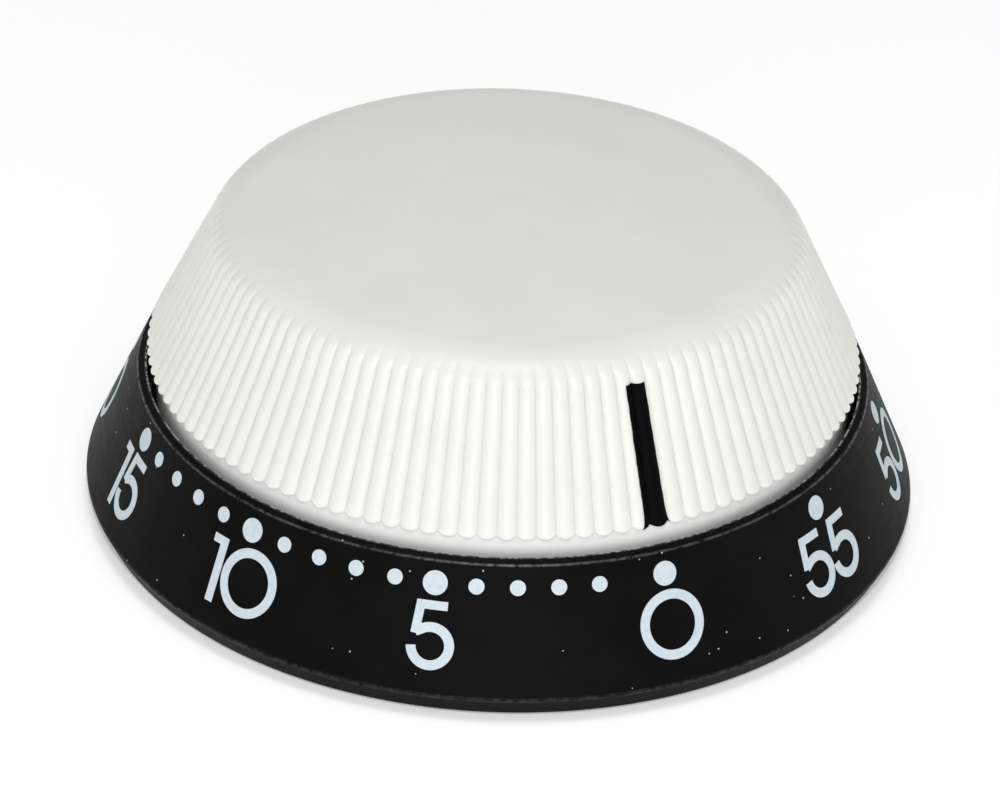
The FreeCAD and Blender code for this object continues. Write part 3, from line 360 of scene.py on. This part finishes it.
def turning_tree():
    """Turns a profile about Z. Where the profile's grooves are not 0, lobes stand between grooves."""
    tree, use = new_tree("turning", [
        ("Profile", "Geometry"), ("Columns", "Int"), ("Rows", "Int"), ("From", "Float"), ("To", "Float"),
        ("Slant", "Float"), ("Wander", "Float"), ("Flare", "Float"), ("Ribs", "Float"),
        ("Groove at", "Float"), ("Crowding", "Float"), ("Lobe", "Float"), ("Thickness", "Float"),
        ("Material", "Material"),
    ])
    rows_less_one = reckon(tree, "SUBTRACT", use["Rows"], 1)
    columns_and_one = reckon(tree, "ADD", use["Columns"], 1)
    grid = add(tree, "GeometryNodeMeshGrid", 1.0, rows_less_one, columns_and_one, use["Rows"])
    place = add(tree, "ShaderNodeSeparateXYZ", out(add(tree, "GeometryNodeInputPosition")))
    share = reckon(tree, "ADD", place.outputs[0], 0.5)
    row = reckon(tree, "ROUND", reckon(tree, "MULTIPLY_ADD", rows_less_one, 0.5, place.outputs[1]))
    up = reckon(tree, "DIVIDE", row, rows_less_one)
    span = reckon(tree, "SUBTRACT", use["To"], use["From"])
    even = reckon(tree, "MULTIPLY_ADD", share, span, use["From"])
    leaning = reckon(tree, "MULTIPLY_ADD", up, use["Slant"], even)
    edge = reckon(tree, "POWER", reckon(tree, "MULTIPLY_ADD", share, 2.0, -1.0), 3.0)
    flare = reckon(tree, "EXPONENT", reckon(tree, "MULTIPLY", up, -30.0))
    flare = reckon(tree, "MULTIPLY", reckon(tree, "MULTIPLY", flare, edge), use["Flare"])
    leaning = reckon(tree, "ADD", leaning, flare)
    spot = out(add(tree, "ShaderNodeCombineXYZ", reckon(tree, "MULTIPLY", share, 3.0), up, 0.0))
    rough = out(add(tree, "ShaderNodeTexNoise", spot, 9.0, 3.0, 0.6))
    sway = reckon(tree, "MULTIPLY", reckon(tree, "SUBTRACT", rough, 0.5), use["Wander"])
    angle = reckon(tree, "MULTIPLY_ADD", reckon(tree, "ABSOLUTE", edge), sway, leaning)
    phase = reckon(tree, "DIVIDE", reckon(tree, "SUBTRACT", angle, use["Groove at"]), 360.0)
    phase = reckon(tree, "MULTIPLY", phase, use["Ribs"])
    wave = reckon(tree, "SINE", reckon(tree, "MULTIPLY", phase, 2 * math.pi))
    crowd = reckon(tree, "MULTIPLY", wave, use["Crowding"])
    phase = reckon(tree, "SUBTRACT", phase, reckon(tree, "DIVIDE", crowd, 2 * math.pi))
    turned = reckon(tree, "MULTIPLY", reckon(tree, "DIVIDE", phase, use["Ribs"]), 360.0)
    turned = reckon(tree, "RADIANS", reckon(tree, "ADD", turned, use["Groove at"]))
    from_groove = reckon(tree, "PINGPONG", phase, 0.5)
    from_lobe = reckon(tree, "MULTIPLY_ADD", from_groove, -2.0, 1.0)
    drop = reckon(tree, "POWER", from_lobe, use["Lobe"])
    profile_place = out(add(tree, "GeometryNodeInputPosition"))
    point = out(add(tree, "GeometryNodeSampleIndex", use["Profile"], profile_place, row,
                    data_type="FLOAT_VECTOR"))
    point = add(tree, "ShaderNodeSeparateXYZ", point)
    marks = {}
    for name in profile_marks:
        value = out(add(tree, "GeometryNodeInputNamedAttribute", name, data_type="FLOAT"))
        marks[name] = out(add(tree, "GeometryNodeSampleIndex", use["Profile"], value, row, data_type="FLOAT"))
    depth = reckon(tree, "MULTIPLY", marks["cut"], drop)
    height = reckon(tree, "MULTIPLY_ADD", marks["rise"], drop, point.outputs[2])
    radius = reckon(tree, "SUBTRACT", point.outputs[0], depth)
    x = reckon(tree, "MULTIPLY", radius, reckon(tree, "SINE", turned))
    y = reckon(tree, "MULTIPLY", radius, reckon(tree, "MULTIPLY", reckon(tree, "COSINE", turned), -1.0))
    spot = out(add(tree, "ShaderNodeCombineXYZ", x, y, height))
    stored = out(add(tree, "GeometryNodeStoreNamedAttribute", out(grid), None, "groove",
                     reckon(tree, "DIVIDE", depth, groove_depth), data_type="FLOAT", domain="POINT"))
    stored = out(add(tree, "GeometryNodeStoreNamedAttribute", stored, None, "lightening", marks["lightening"],
                     data_type="FLOAT", domain="POINT"))
    moved = out(add(tree, "GeometryNodeSetPosition", stored, None, spot))
    joined = out(add(tree, "GeometryNodeMergeByDistance", moved, None, weld))
    skin = out(add(tree, "GeometryNodeMergeByDistance", slab(tree, joined, use["Thickness"]), None, weld))
    is_skin = reckon(tree, "GREATER_THAN", use["Thickness"], 0.0)
    choice = out(add(tree, "GeometryNodeSwitch", is_skin, joined, skin, input_type="GEOMETRY"))
    close_tree(tree, choice, use["Material"])
    return tree


def turn(name, tree, profile, material, columns, sizes=()):
    """A piece turned from its profile, whose points may bear marks."""
    line, marks = profile
    piece = new_piece(name, [(p.x, 0, p.y) for p in line])
    for mark in profile_marks:
        values = marks.get(mark, [0.0] * len(line))
        piece.data.attributes.new(mark, "FLOAT", "POINT").data.foreach_set("value", values)
    values = {"Columns": columns, "Rows": len(line), "From": -180.0, "To": 180.0, "Slant": 0.0,
              "Wander": 0.0, "Flare": 0.0, "Ribs": 1.0, "Groove at": groove_at, "Crowding": 0.0,
              "Lobe": lobe, "Thickness": 0.0, "Material": material}
    values.update(sizes)
    return baked(piece, tree, values)


# ---------------------------------------------------------------------------------- printed dial

dot_row = 1.98 * MM
large_dot = 2.20 * MM
small_dot = 1.40 * MM
minute_step = 5.93
minute_start = 4.07
last_small_minute = 15
numeral_top = 3.57 * MM
numeral_bottom = 9.75 * MM
stroke = 0.87 * MM
thin_stroke = 0.79 * MM
stroke_lift = 0.001 * MM
numeral_gap = 0.17
numeral_nudge = 0.1


def mark_angle(minute):
    """Where a minute stands on the dial. The spacing leaves a little more beside the 0."""
    return -(minute_step * minute + minute_start) if minute else 0.0


def arc(x, y, wide, high, start, end, steps=36):
    """Points on an ellipse, from one angle to another, in the numeral's own millimetres."""
    angles = [math.radians(start + (end - start) * step / steps) for step in range(steps + 1)]
    return [(x + wide * math.cos(a), y - high * math.sin(a)) for a in angles]


def straight(start, end, step=0.3):
    """Points along a line, no further apart than a step."""
    count = max(1, math.ceil(math.dist(start, end) / step))
    return [(start[0] + (end[0] - start[0]) * n / count, start[1] + (end[1] - start[1]) * n / count)
            for n in range(count + 1)]


# Each numeral is its width and its strokes: lines of points, x from its left edge and y down the dial.
def numeral_strokes():
    """The numerals of the dial, in millimetres."""
    top, bottom = numeral_top / MM, numeral_bottom / MM
    thin, full = thin_stroke / MM, stroke / MM
    bar = top + thin / 2
    rest = bottom - full / 2
    bowl = bottom - 2.14
    round_nought = arc(3.06, (top + bottom) / 2 - 0.05, 2.63, 2.72, 90, 450, 64)
    return {
        "0": (6.1, [(round_nought, full)]),
        "1": (1.85, [(straight((1.42, top + 0.16), (1.42, bottom)), 0.86),
                     (straight((0.1, bar + 0.16), (1.1, bar + 0.16)), thin)]),
        "2": (4.1, [(arc(2.05, 5.6, 1.6, 1.6, 175, -35) + straight((3.3, 6.6), (0.75, rest - 0.2))[1:], full),
                    (straight((0.1, rest), (4.0, rest)), full)]),
        "3": (4.1, [(arc(2.0, 5.2, 1.25, 1.22, 160, -90), full),
                    (arc(1.9, bowl + 0.1, 1.66, 1.6, 90, -165), full)]),
        "4": (4.6, [(straight((3.3, top), (3.3, bottom)), full),
                    (straight((3.0, top + 0.2), (0.45, 8.0)), full),
                    (straight((0.1, 8.1), (4.5, 8.1)), full)]),
        "5": (4.13, [(straight((0.55, bar), (3.28, bar)), thin),
                     (straight((0.93, top + 0.1), (0.60, 6.6)), thin),
                     (arc(2.04, bowl, 1.70, 1.70, 183, 475)
                      + straight((1.32, 6.07), (0.62, 6.42))[1:], full)]),
    }


def ribbon(line, width, lift, points, faces):
    """Adds a flat stroke of even width along a line of points."""
    closed = math.dist(line[0], line[-1]) < 0.001
    line = line[:-1] if closed else line
    first = len(points)
    count = len(line)
    for number, (x, y) in enumerate(line):
        before = line[number - 1] if number or closed else line[0]
        after = line[(number + 1) % count] if number < count - 1 or closed else line[-1]
        along = Vector((after[0] - before[0], after[1] - before[1])).normalized()
        for side in (-0.5, 0.5):
            points.append(((x - along.y * width * side) * MM, (y + along.x * width * side) * MM, lift))
    for number in range(count if closed else count - 1):
        here, there = first + 2 * number, first + 2 * ((number + 1) % count)
        faces.append((here, there, there + 1, here + 1))


def numerals_flat():
    """All the numerals as flat strokes, with the angle of the mark that each one belongs to."""
    shapes = numeral_strokes()
    points, faces, angles = [], [], []
    for minute in range(0, 60, 5):
        digits = str(minute)
        wide = sum(shapes[digit][0] for digit in digits) + numeral_gap * (len(digits) - 1)
        x = -wide / 2 + numeral_nudge
        for digit in digits:
            width, strokes = shapes[digit]
            for number, (line, thickness) in enumerate(strokes):
                ribbon([(x + px, py) for px, py in line], thickness, number * stroke_lift, points, faces)
            x += width + numeral_gap
        angles += [mark_angle(minute)] * (len(points) - len(angles))
    return points, faces, angles


def wrap_nodes(tree, flat, material):
    """Lays flat print, x along the dial and y down it, on the dial's cone, and gives it thickness."""
    sheet = slab(tree, flat, ink)
    place = add(tree, "ShaderNodeSeparateXYZ", out(add(tree, "GeometryNodeInputPosition")))
    angle = out(add(tree, "GeometryNodeInputNamedAttribute", "mark_angle", data_type="FLOAT"))
    radius = reckon(tree, "MULTIPLY_ADD", place.outputs[1], math.sin(dial_slope), lip_radius)
    turned = reckon(tree, "DIVIDE", place.outputs[0], radius)
    along = reckon(tree, "ADD", reckon(tree, "RADIANS", angle), turned)
    lift = reckon(tree, "SUBTRACT", place.outputs[2], ink / 3)
    height = reckon(tree, "MULTIPLY_ADD", place.outputs[1], -math.cos(dial_slope), lip_height)
    height = reckon(tree, "MULTIPLY_ADD", lift, math.sin(dial_slope), height)
    radius = reckon(tree, "MULTIPLY_ADD", lift, math.cos(dial_slope), radius)
    x = reckon(tree, "MULTIPLY", radius, reckon(tree, "SINE", along))
    y = reckon(tree, "MULTIPLY", radius, reckon(tree, "MULTIPLY", reckon(tree, "COSINE", along), -1.0))
    spot = out(add(tree, "ShaderNodeCombineXYZ", x, y, height))
    moved = out(add(tree, "GeometryNodeSetPosition", sheet, None, spot))
    joined = out(add(tree, "GeometryNodeMergeByDistance", moved, None, weld))
    close_tree(tree, out(add(tree, "GeometryNodeFlipFaces", joined)), material)


def numerals_tree():
    """Wraps flat numerals round the dial."""
    tree, use = new_tree("numerals on the dial", [("Flat", "Geometry"), ("Material", "Material")])
    wrap_nodes(tree, use["Flat"], use["Material"])
    return tree


def dots_tree():
    """The minute dots: a large one at every fifth minute, small ones up to the last small minute."""
    tree, use = new_tree("dots on the dial", [
        ("Flat", "Geometry"), ("Minutes", "Int"), ("Last small", "Int"), ("Step", "Float"),
        ("Start", "Float"), ("Row", "Float"), ("Large", "Float"), ("Small", "Float"), ("Sides", "Int"),
        ("Material", "Material"),
    ])
    marks = out(add(tree, "GeometryNodePoints", use["Minutes"]))
    minute = out(add(tree, "GeometryNodeInputIndex"))
    fifth = reckon(tree, "LESS_THAN", reckon(tree, "MODULO", minute, 5.0), 0.5)
    late = reckon(tree, "GREATER_THAN", minute, use["Last small"])
    blank = reckon(tree, "GREATER_THAN", reckon(tree, "SUBTRACT", late, fifth), 0.5)
    beyond = reckon(tree, "GREATER_THAN", minute, 0.5)
    angle = reckon(tree, "MULTIPLY_ADD", minute, use["Step"], use["Start"])
    angle = reckon(tree, "MULTIPLY", reckon(tree, "MULTIPLY", angle, beyond), -1.0)
    spot = out(add(tree, "ShaderNodeCombineXYZ", 0.0, use["Row"], 0.0))
    placed = out(add(tree, "GeometryNodeSetPosition", marks, None, spot))
    stored = out(add(tree, "GeometryNodeStoreNamedAttribute", placed, None, "mark_angle", angle,
                     data_type="FLOAT", domain="POINT"))
    extra = reckon(tree, "SUBTRACT", use["Large"], use["Small"])
    width = reckon(tree, "MULTIPLY_ADD", fifth, extra, use["Small"])
    size = reckon(tree, "MULTIPLY", width, 0.5)
    stored = out(add(tree, "GeometryNodeStoreNamedAttribute", stored, None, "size", size,
                     data_type="FLOAT", domain="POINT"))
    kept = out(add(tree, "GeometryNodeDeleteGeometry", stored, blank, domain="POINT"))
    disc = out(add(tree, "GeometryNodeMeshCircle", use["Sides"], 1.0, fill_type="TRIANGLE_FAN"))
    size = out(add(tree, "GeometryNodeInputNamedAttribute", "size", data_type="FLOAT"))
    discs = out(add(tree, "GeometryNodeInstanceOnPoints", kept, None, disc, None, None, None, size))
    flat = out(add(tree, "GeometryNodeRealizeInstances", discs))
    wrap_nodes(tree, flat, use["Material"])
    return tree


def make_dial_print(material):
    """The numerals and the dots."""
    points, faces, angles = numerals_flat()
    numerals = new_piece("dial_numerals", points, (), faces)
    numerals.data.attributes.new("mark_angle", "FLOAT", "POINT").data.foreach_set("value", angles)
    baked(numerals, numerals_tree(), {"Material": material})
    dots = new_piece("dial_dots", [(0, 0, 0)])
    baked(dots, dots_tree(), {
        "Minutes": 60, "Last small": last_small_minute, "Step": minute_step, "Start": minute_start,
        "Row": dot_row, "Large": large_dot, "Small": small_dot, "Sides": 40, "Material": material})
    for piece in (numerals, dots):
        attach(piece, "base")


# -------------------------------------------------------------------------------------- materials

# Dust: how far apart its cells are, a speck's radius in cells, and the share of cells without one.
speck_spacing = 1.1 * MM
speck_radius = 0.075
speck_pick = 0.78
chip_and_glint_share = 0.52


def new_material(name, colour, roughness, metallic=0.0):
    """A material with its shader, and the place of the surface in metres."""
    material = bpy.data.materials.new(name)
    material.use_nodes = True
    tree = material.node_tree
    shader = tree.nodes["Principled BSDF"]
    shader.inputs["Base Color"].default_value = (*colour, 1.0)
    shader.inputs["Roughness"].default_value = roughness
    shader.inputs["Metallic"].default_value = metallic
    place = add(tree, "ShaderNodeTexCoord").outputs["Object"]
    return material, tree, shader, place


def grain(tree, place, size, detail=3.0, stretch=(1, 1, 1)):
    """Noise whose features are about as large as the size."""
    scales = tuple(share / size for share in stretch)
    scaled = out(add(tree, "ShaderNodeVectorMath", place, scales, operation="MULTIPLY"))
    return out(add(tree, "ShaderNodeTexNoise", scaled, 1.0, detail, 0.55))


def spread(tree, value, low, high):
    """A noise value stretched over a range."""
    return out(add(tree, "ShaderNodeMapRange", value, 0.3, 0.7, low, high))


def tint(tree, factor, first, second):
    """A colour between two, by a factor."""
    return out(add(tree, "ShaderNodeMix", factor, (*first, 1.0), (*second, 1.0), data_type="RGBA"))


def relief(tree, shader, *layers):
    """Bump from (height, depth in metres) layers, one over the other."""
    normal = None
    for height, depth in layers:
        normal = out(add(tree, "ShaderNodeBump", 1.0, depth, None, height, normal))
    tree.links.new(normal, shader.inputs["Normal"])


def knob_plastic():
    """Warm white moulded plastic, with painted shade down in the grooves and painted light on the neck."""
    material, tree, shader, place = new_material("white_moulded", (0.8, 0.8, 0.76), 0.4)
    cloud = grain(tree, place, 9 * MM, 4.0)
    fine = grain(tree, place, 0.25 * MM)
    shader.inputs["Subsurface Weight"].default_value = 0.7
    shader.inputs["Subsurface Radius"].default_value = (1.0, 0.97, 0.9)
    shader.inputs["Subsurface Scale"].default_value = 0.6 * MM
    body = tint(tree, spread(tree, cloud, 0.0, 1.0), (0.80, 0.806, 0.77), (0.835, 0.841, 0.805))
    groove = out(add(tree, "ShaderNodeAttribute", attribute_name="groove"), 2)
    # Painted shade: the deepest parts of the grooves are made greyer.
    groove_shade = reckon(tree, "MULTIPLY", reckon(tree, "POWER", groove, 4.0), 0.12)
    mix = add(tree, "ShaderNodeMix", groove_shade, body, (0.42, 0.42, 0.40, 1.0), data_type="RGBA")
    # Painted light: the neck and the underside of the ribs' foot are made paler, where the overhang shades
    # them.
    painted_neck_light = out(add(tree, "ShaderNodeAttribute", attribute_name="lightening"), 2)
    mix = add(tree, "ShaderNodeMix", painted_neck_light, out(mix), (0.92, 0.92, 0.91, 1.0), data_type="RGBA")
    tree.links.new(out(mix), shader.inputs["Base Color"])
    tree.links.new(spread(tree, fine, 0.30, 0.42), shader.inputs["Roughness"])
    relief(tree, shader, (cloud, 0.01 * MM), (fine, 0.003 * MM))
    return material


def base_plastic():
    """Black satin plastic with a fine grain, faint turning lines and specks of dust. Its rubbed edges are
    lighter and glossier with a painted highlight, and the lip's inner edge has light chips with painted
    glints.
    """
    material, tree, shader, place = new_material("black_satin", (0.012, 0.012, 0.013), 0.4)
    cloud = grain(tree, place, 6 * MM, 5.0)
    fine = grain(tree, place, 0.18 * MM, 2.0)
    rings = grain(tree, place, 3 * MM, 3.0, (1, 1, 14))
    scaled = out(add(tree, "ShaderNodeVectorMath", place, (1 / speck_spacing,) * 3, operation="MULTIPLY"))
    cells = add(tree, "ShaderNodeTexVoronoi", scaled, 1.0)
    near = reckon(tree, "LESS_THAN", cells.outputs["Distance"], speck_radius)
    pick = out(add(tree, "ShaderNodeSeparateColor", cells.outputs["Color"]))
    speck = reckon(tree, "MULTIPLY", near, reckon(tree, "GREATER_THAN", pick, speck_pick))
    body = tint(tree, spread(tree, cloud, 0.0, 1.0), (0.0025, 0.0025, 0.0027), (0.005, 0.0045, 0.005))
    lightening = out(add(tree, "ShaderNodeAttribute", attribute_name="lightening"), 2)
    flecks = grain(tree, place, 0.5 * MM, 5.0)
    # Rubbed edges, lighter and glossier: partly from rubbing, partly a painted highlight line.
    worn_and_highlit = reckon(tree, "MINIMUM", lightening, 1.0)
    worn_and_highlit = reckon(tree, "MULTIPLY", worn_and_highlit, spread(tree, flecks, -0.1, 1.3))
    # Light flecks on the lip's inner top edge: partly chips, partly painted glints.
    chip_and_glint_edge = reckon(tree, "GREATER_THAN", lightening, (lip_wear_and_highlight + chip_and_glint_level) / 2)
    chips_and_glints = reckon(tree, "MULTIPLY", chip_and_glint_edge, reckon(tree, "GREATER_THAN", flecks, chip_and_glint_share))
    mix = add(tree, "ShaderNodeMix", reckon(tree, "MULTIPLY", worn_and_highlit, 0.4), body, (0.12, 0.12, 0.12, 1.0),
              data_type="RGBA")
    chips_and_glints = reckon(tree, "MULTIPLY", chips_and_glints, 0.6)
    bright = reckon(tree, "MAXIMUM", reckon(tree, "MULTIPLY", speck, 0.8), chips_and_glints)
    mix = add(tree, "ShaderNodeMix", bright, out(mix), (0.55, 0.53, 0.50, 1.0), data_type="RGBA")
    tree.links.new(out(mix), shader.inputs["Base Color"])
    tree.links.new(reckon(tree, "MULTIPLY_ADD", worn_and_highlit, 0.6, 0.05), shader.inputs["Specular IOR Level"])
    gloss = reckon(tree, "MULTIPLY_ADD", worn_and_highlit, -0.22, spread(tree, rings, 0.44, 0.54))
    tree.links.new(gloss, shader.inputs["Roughness"])
    relief(tree, shader, (rings, 0.003 * MM), (fine, 0.006 * MM))
    return material


def white_ink():
    """Cool white printing ink, slightly uneven."""
    material, tree, shader, place = new_material("white_ink", (0.7, 0.76, 0.8), 0.55)
    cloud = grain(tree, place, 0.5 * MM, 4.0)
    body = tint(tree, spread(tree, cloud, 0.0, 1.0), (0.54, 0.62, 0.68), (0.63, 0.71, 0.76))
    tree.links.new(body, shader.inputs["Base Color"])
    tree.links.new(spread(tree, cloud, 0.5, 0.65), shader.inputs["Roughness"])
    relief(tree, shader, (cloud, 0.004 * MM))
    return material


def black_ink():
    """Matt black ink laid on by hand."""
    material, tree, shader, place = new_material("black_ink", (0.01, 0.01, 0.01), 0.6)
    shader.inputs["Specular IOR Level"].default_value = 0.05
    cloud = grain(tree, place, 0.6 * MM, 5.0)
    body = tint(tree, spread(tree, cloud, 0.0, 1.0), (0.001, 0.001, 0.0012), (0.003, 0.003, 0.003))
    tree.links.new(body, shader.inputs["Base Color"])
    tree.links.new(spread(tree, cloud, 0.5, 0.7), shader.inputs["Roughness"])
    relief(tree, shader, (cloud, 0.01 * MM))
    return material


def cover_plastic():
    """Black plastic with a spark-eroded texture."""
    material, tree, shader, place = new_material("black_grained", (0.016, 0.016, 0.017), 0.55)
    cloud = grain(tree, place, 8 * MM, 4.0)
    fine = grain(tree, place, 0.35 * MM, 4.0)
    body = tint(tree, spread(tree, cloud, 0.0, 1.0), (0.012, 0.012, 0.013), (0.022, 0.022, 0.023))
    tree.links.new(body, shader.inputs["Base Color"])
    tree.links.new(spread(tree, fine, 0.48, 0.66), shader.inputs["Roughness"])
    relief(tree, shader, (fine, 0.02 * MM))
    return material


def metal(name, dark, light, low, high, brushed):
    """A metal finish: colour and roughness between two values, brushed along the stretch."""
    material, tree, shader, place = new_material(name, light, low, 1.0)
    cloud = grain(tree, place, 5 * MM, 4.0)
    lines = grain(tree, place, 0.4 * MM, 3.0, brushed)
    tree.links.new(tint(tree, spread(tree, cloud, 0.0, 1.0), dark, light), shader.inputs["Base Color"])
    tree.links.new(spread(tree, lines, low, high), shader.inputs["Roughness"])
    relief(tree, shader, (lines, 0.003 * MM))
    return material


def finishes():
    """The material of every slot."""
    return {
        "knob_plastic": knob_plastic(),
        "base_plastic": base_plastic(),
        "cover_plastic": cover_plastic(),
        "screw_steel": metal("zinc_plated", (0.42, 0.43, 0.45), (0.60, 0.61, 0.63), 0.24, 0.38, (1, 1, 1)),
        "plate_steel": metal("pressed_steel", (0.45, 0.45, 0.43), (0.62, 0.61, 0.58),
                             0.30, 0.45, (1, 0.05, 1)),
        "arbor_steel": metal("turned_steel", (0.45, 0.46, 0.48), (0.66, 0.67, 0.69),
                             0.18, 0.30, (0.2, 0.2, 3)),
        "spring_steel": metal("blued_steel", (0.13, 0.15, 0.20), (0.25, 0.27, 0.32), 0.22, 0.36, (1, 1, 0.1)),
        "wheel_brass": metal("rolled_brass", (0.55, 0.38, 0.15), (0.78, 0.58, 0.27), 0.22, 0.38, (1, 1, 0.3)),
        "bell_steel": metal("nickel_plated", (0.55, 0.54, 0.52), (0.78, 0.77, 0.74),
                            0.12, 0.24, (0.3, 0.3, 2)),
    }


def finish_cad(materials):
    """Gives every CAD node the finish of its slot."""
    for part in frame["record"]["subparts"]:
        node = frame["nodes"][part["node"]]
        node.data.materials.clear()
        node.data.materials.append(materials[part["material_slot"]])


# ----------------------------------------------------------------------------- knob, base, pointer

# Degrees from the 0 mark to the stripe's sides, and how far they lean by its top.
pointer_left = -2.15
pointer_right = 1.65
pointer_slant = -0.35
pointer_top = 26.78 * MM
pointer_lift = Vector((0.02 * MM, 0.008 * MM))
pointer_rows = 90


def make_base_ring(tree, material):
    """The black housing, turned."""
    ring = turn("base_ring", tree, base_profile(), material, 360)
    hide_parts("base_housing")
    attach(ring, "base")


def make_knob_cap(tree, material):
    """The ribbed knob."""
    cap = turn("knob_cap", tree, knob_profile(), material, rib_count * 10,
               {"Ribs": float(rib_count), "Crowding": 0.45})
    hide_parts("knob")
    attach(cap, "winder")


def make_pointer(tree, material):
    """The painted stripe that points at the minutes, lying over the ribs."""
    line, marks = knob_profile()
    start = marks["rise"].index(max(marks["rise"]))
    strip, cuts, rises = [], [], []
    for step in range(pointer_rows + 1):
        height = line[start].y + (pointer_top - line[start].y) * step / pointer_rows
        upper = next(n for n in range(start + 1, len(line)) if line[n].y >= height)
        share = (height - line[upper - 1].y) / (line[upper].y - line[upper - 1].y)
        strip.append(line[upper - 1].lerp(line[upper], share) + pointer_lift)
        for name, values in (("cut", cuts), ("rise", rises)):
            values.append(marks[name][upper - 1] * (1 - share) + marks[name][upper] * share)
    stripe = turn("pointer_stripe", tree, (strip, {"cut": cuts, "rise": rises}), material, 44,
                  {"From": pointer_left, "To": pointer_right, "Slant": pointer_slant, "Wander": 0.4,
                   "Flare": 0.5, "Ribs": float(rib_count), "Thickness": 0.02 * MM})
    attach(stripe, "winder")


# ------------------------------------------------------------------------- camera, floor and light

camera_distance = 0.41592
camera_azimuth = math.radians(-25.27)
camera_elevation = math.radians(31.73)
camera_roll = math.radians(-2.36)
camera_lens = 157.43
aim_right = -0.137 * MM
aim_up = 7.173 * MM


def make_camera():
    """A long lens, a little left of the 0 mark and looking down."""
    back = Vector((math.cos(camera_elevation) * math.sin(camera_azimuth),
                   -math.cos(camera_elevation) * math.cos(camera_azimuth), math.sin(camera_elevation)))
    right = Vector((math.cos(camera_azimuth), math.sin(camera_azimuth), 0))
    up = back.cross(right)
    across = right * math.cos(camera_roll) - up * math.sin(camera_roll)
    upward = right * math.sin(camera_roll) + up * math.cos(camera_roll)
    data = bpy.data.cameras.new("camera")
    data.lens = camera_lens
    data.clip_start = 0.01
    camera = bpy.data.objects.new("camera", data)
    bpy.context.scene.collection.objects.link(camera)
    turned = Matrix((across, upward, back)).transposed().to_4x4()
    spot = back * camera_distance + right * aim_right + up * aim_up
    camera.matrix_world = Matrix.Translation(spot) @ turned
    bpy.context.scene.camera = camera


def make_floor():
    """A plain white floor."""
    reach = 1.5
    corners = [(-reach, -reach, 0), (reach, -reach, 0), (reach, reach, 0), (-reach, reach, 0)]
    floor = new_piece("floor", corners, (), [(0, 1, 2, 3)])
    material, tree, shader, place = new_material("floor_white", (0.93, 0.93, 0.93), 0.9)
    shader.inputs["Emission Color"].default_value = (1, 1, 1, 1)
    shader.inputs["Emission Strength"].default_value = 0.28
    floor.data.materials.append(material)


def make_light(name, azimuth, elevation, distance, size, power):
    """A square soft light that looks at the timer."""
    a, e = math.radians(azimuth), math.radians(elevation)
    data = bpy.data.lights.new(name, "AREA")
    data.size = size
    data.energy = power
    light = bpy.data.objects.new(name, data)
    bpy.context.scene.collection.objects.link(light)
    back = Vector((math.cos(e) * math.sin(a), -math.cos(e) * math.cos(a), math.sin(e)))
    light.location = back * distance + Vector((0, 0, 15 * MM))
    light.rotation_euler = back.to_track_quat("Z", "Y").to_euler()


def make_stage():
    """The floor, the lights and a dim surround."""
    make_floor()
    make_light("front_light", -22, 13, 0.5, 0.22, 0.30)
    make_light("small_light", -26, 41, 0.42, 0.016, 0.56)
    make_light("overhead_light", 0, 88, 0.9, 0.3, 1.65)
    world = bpy.data.worlds.new("dim_surround")
    world.use_nodes = True
    world.node_tree.nodes["Background"].inputs["Color"].default_value = (1, 1, 1, 1)
    world.node_tree.nodes["Background"].inputs["Strength"].default_value = 0.42
    bpy.context.scene.world = world
    bpy.context.scene.view_settings.view_transform = "Standard"


make_camera()
make_stage()
slot_materials = finishes()
finish_cad(slot_materials)
turning = turning_tree()
make_base_ring(turning, slot_materials["base_plastic"])
make_knob_cap(turning, slot_materials["knob_plastic"])
make_pointer(turning, black_ink())
make_dial_print(white_ink())
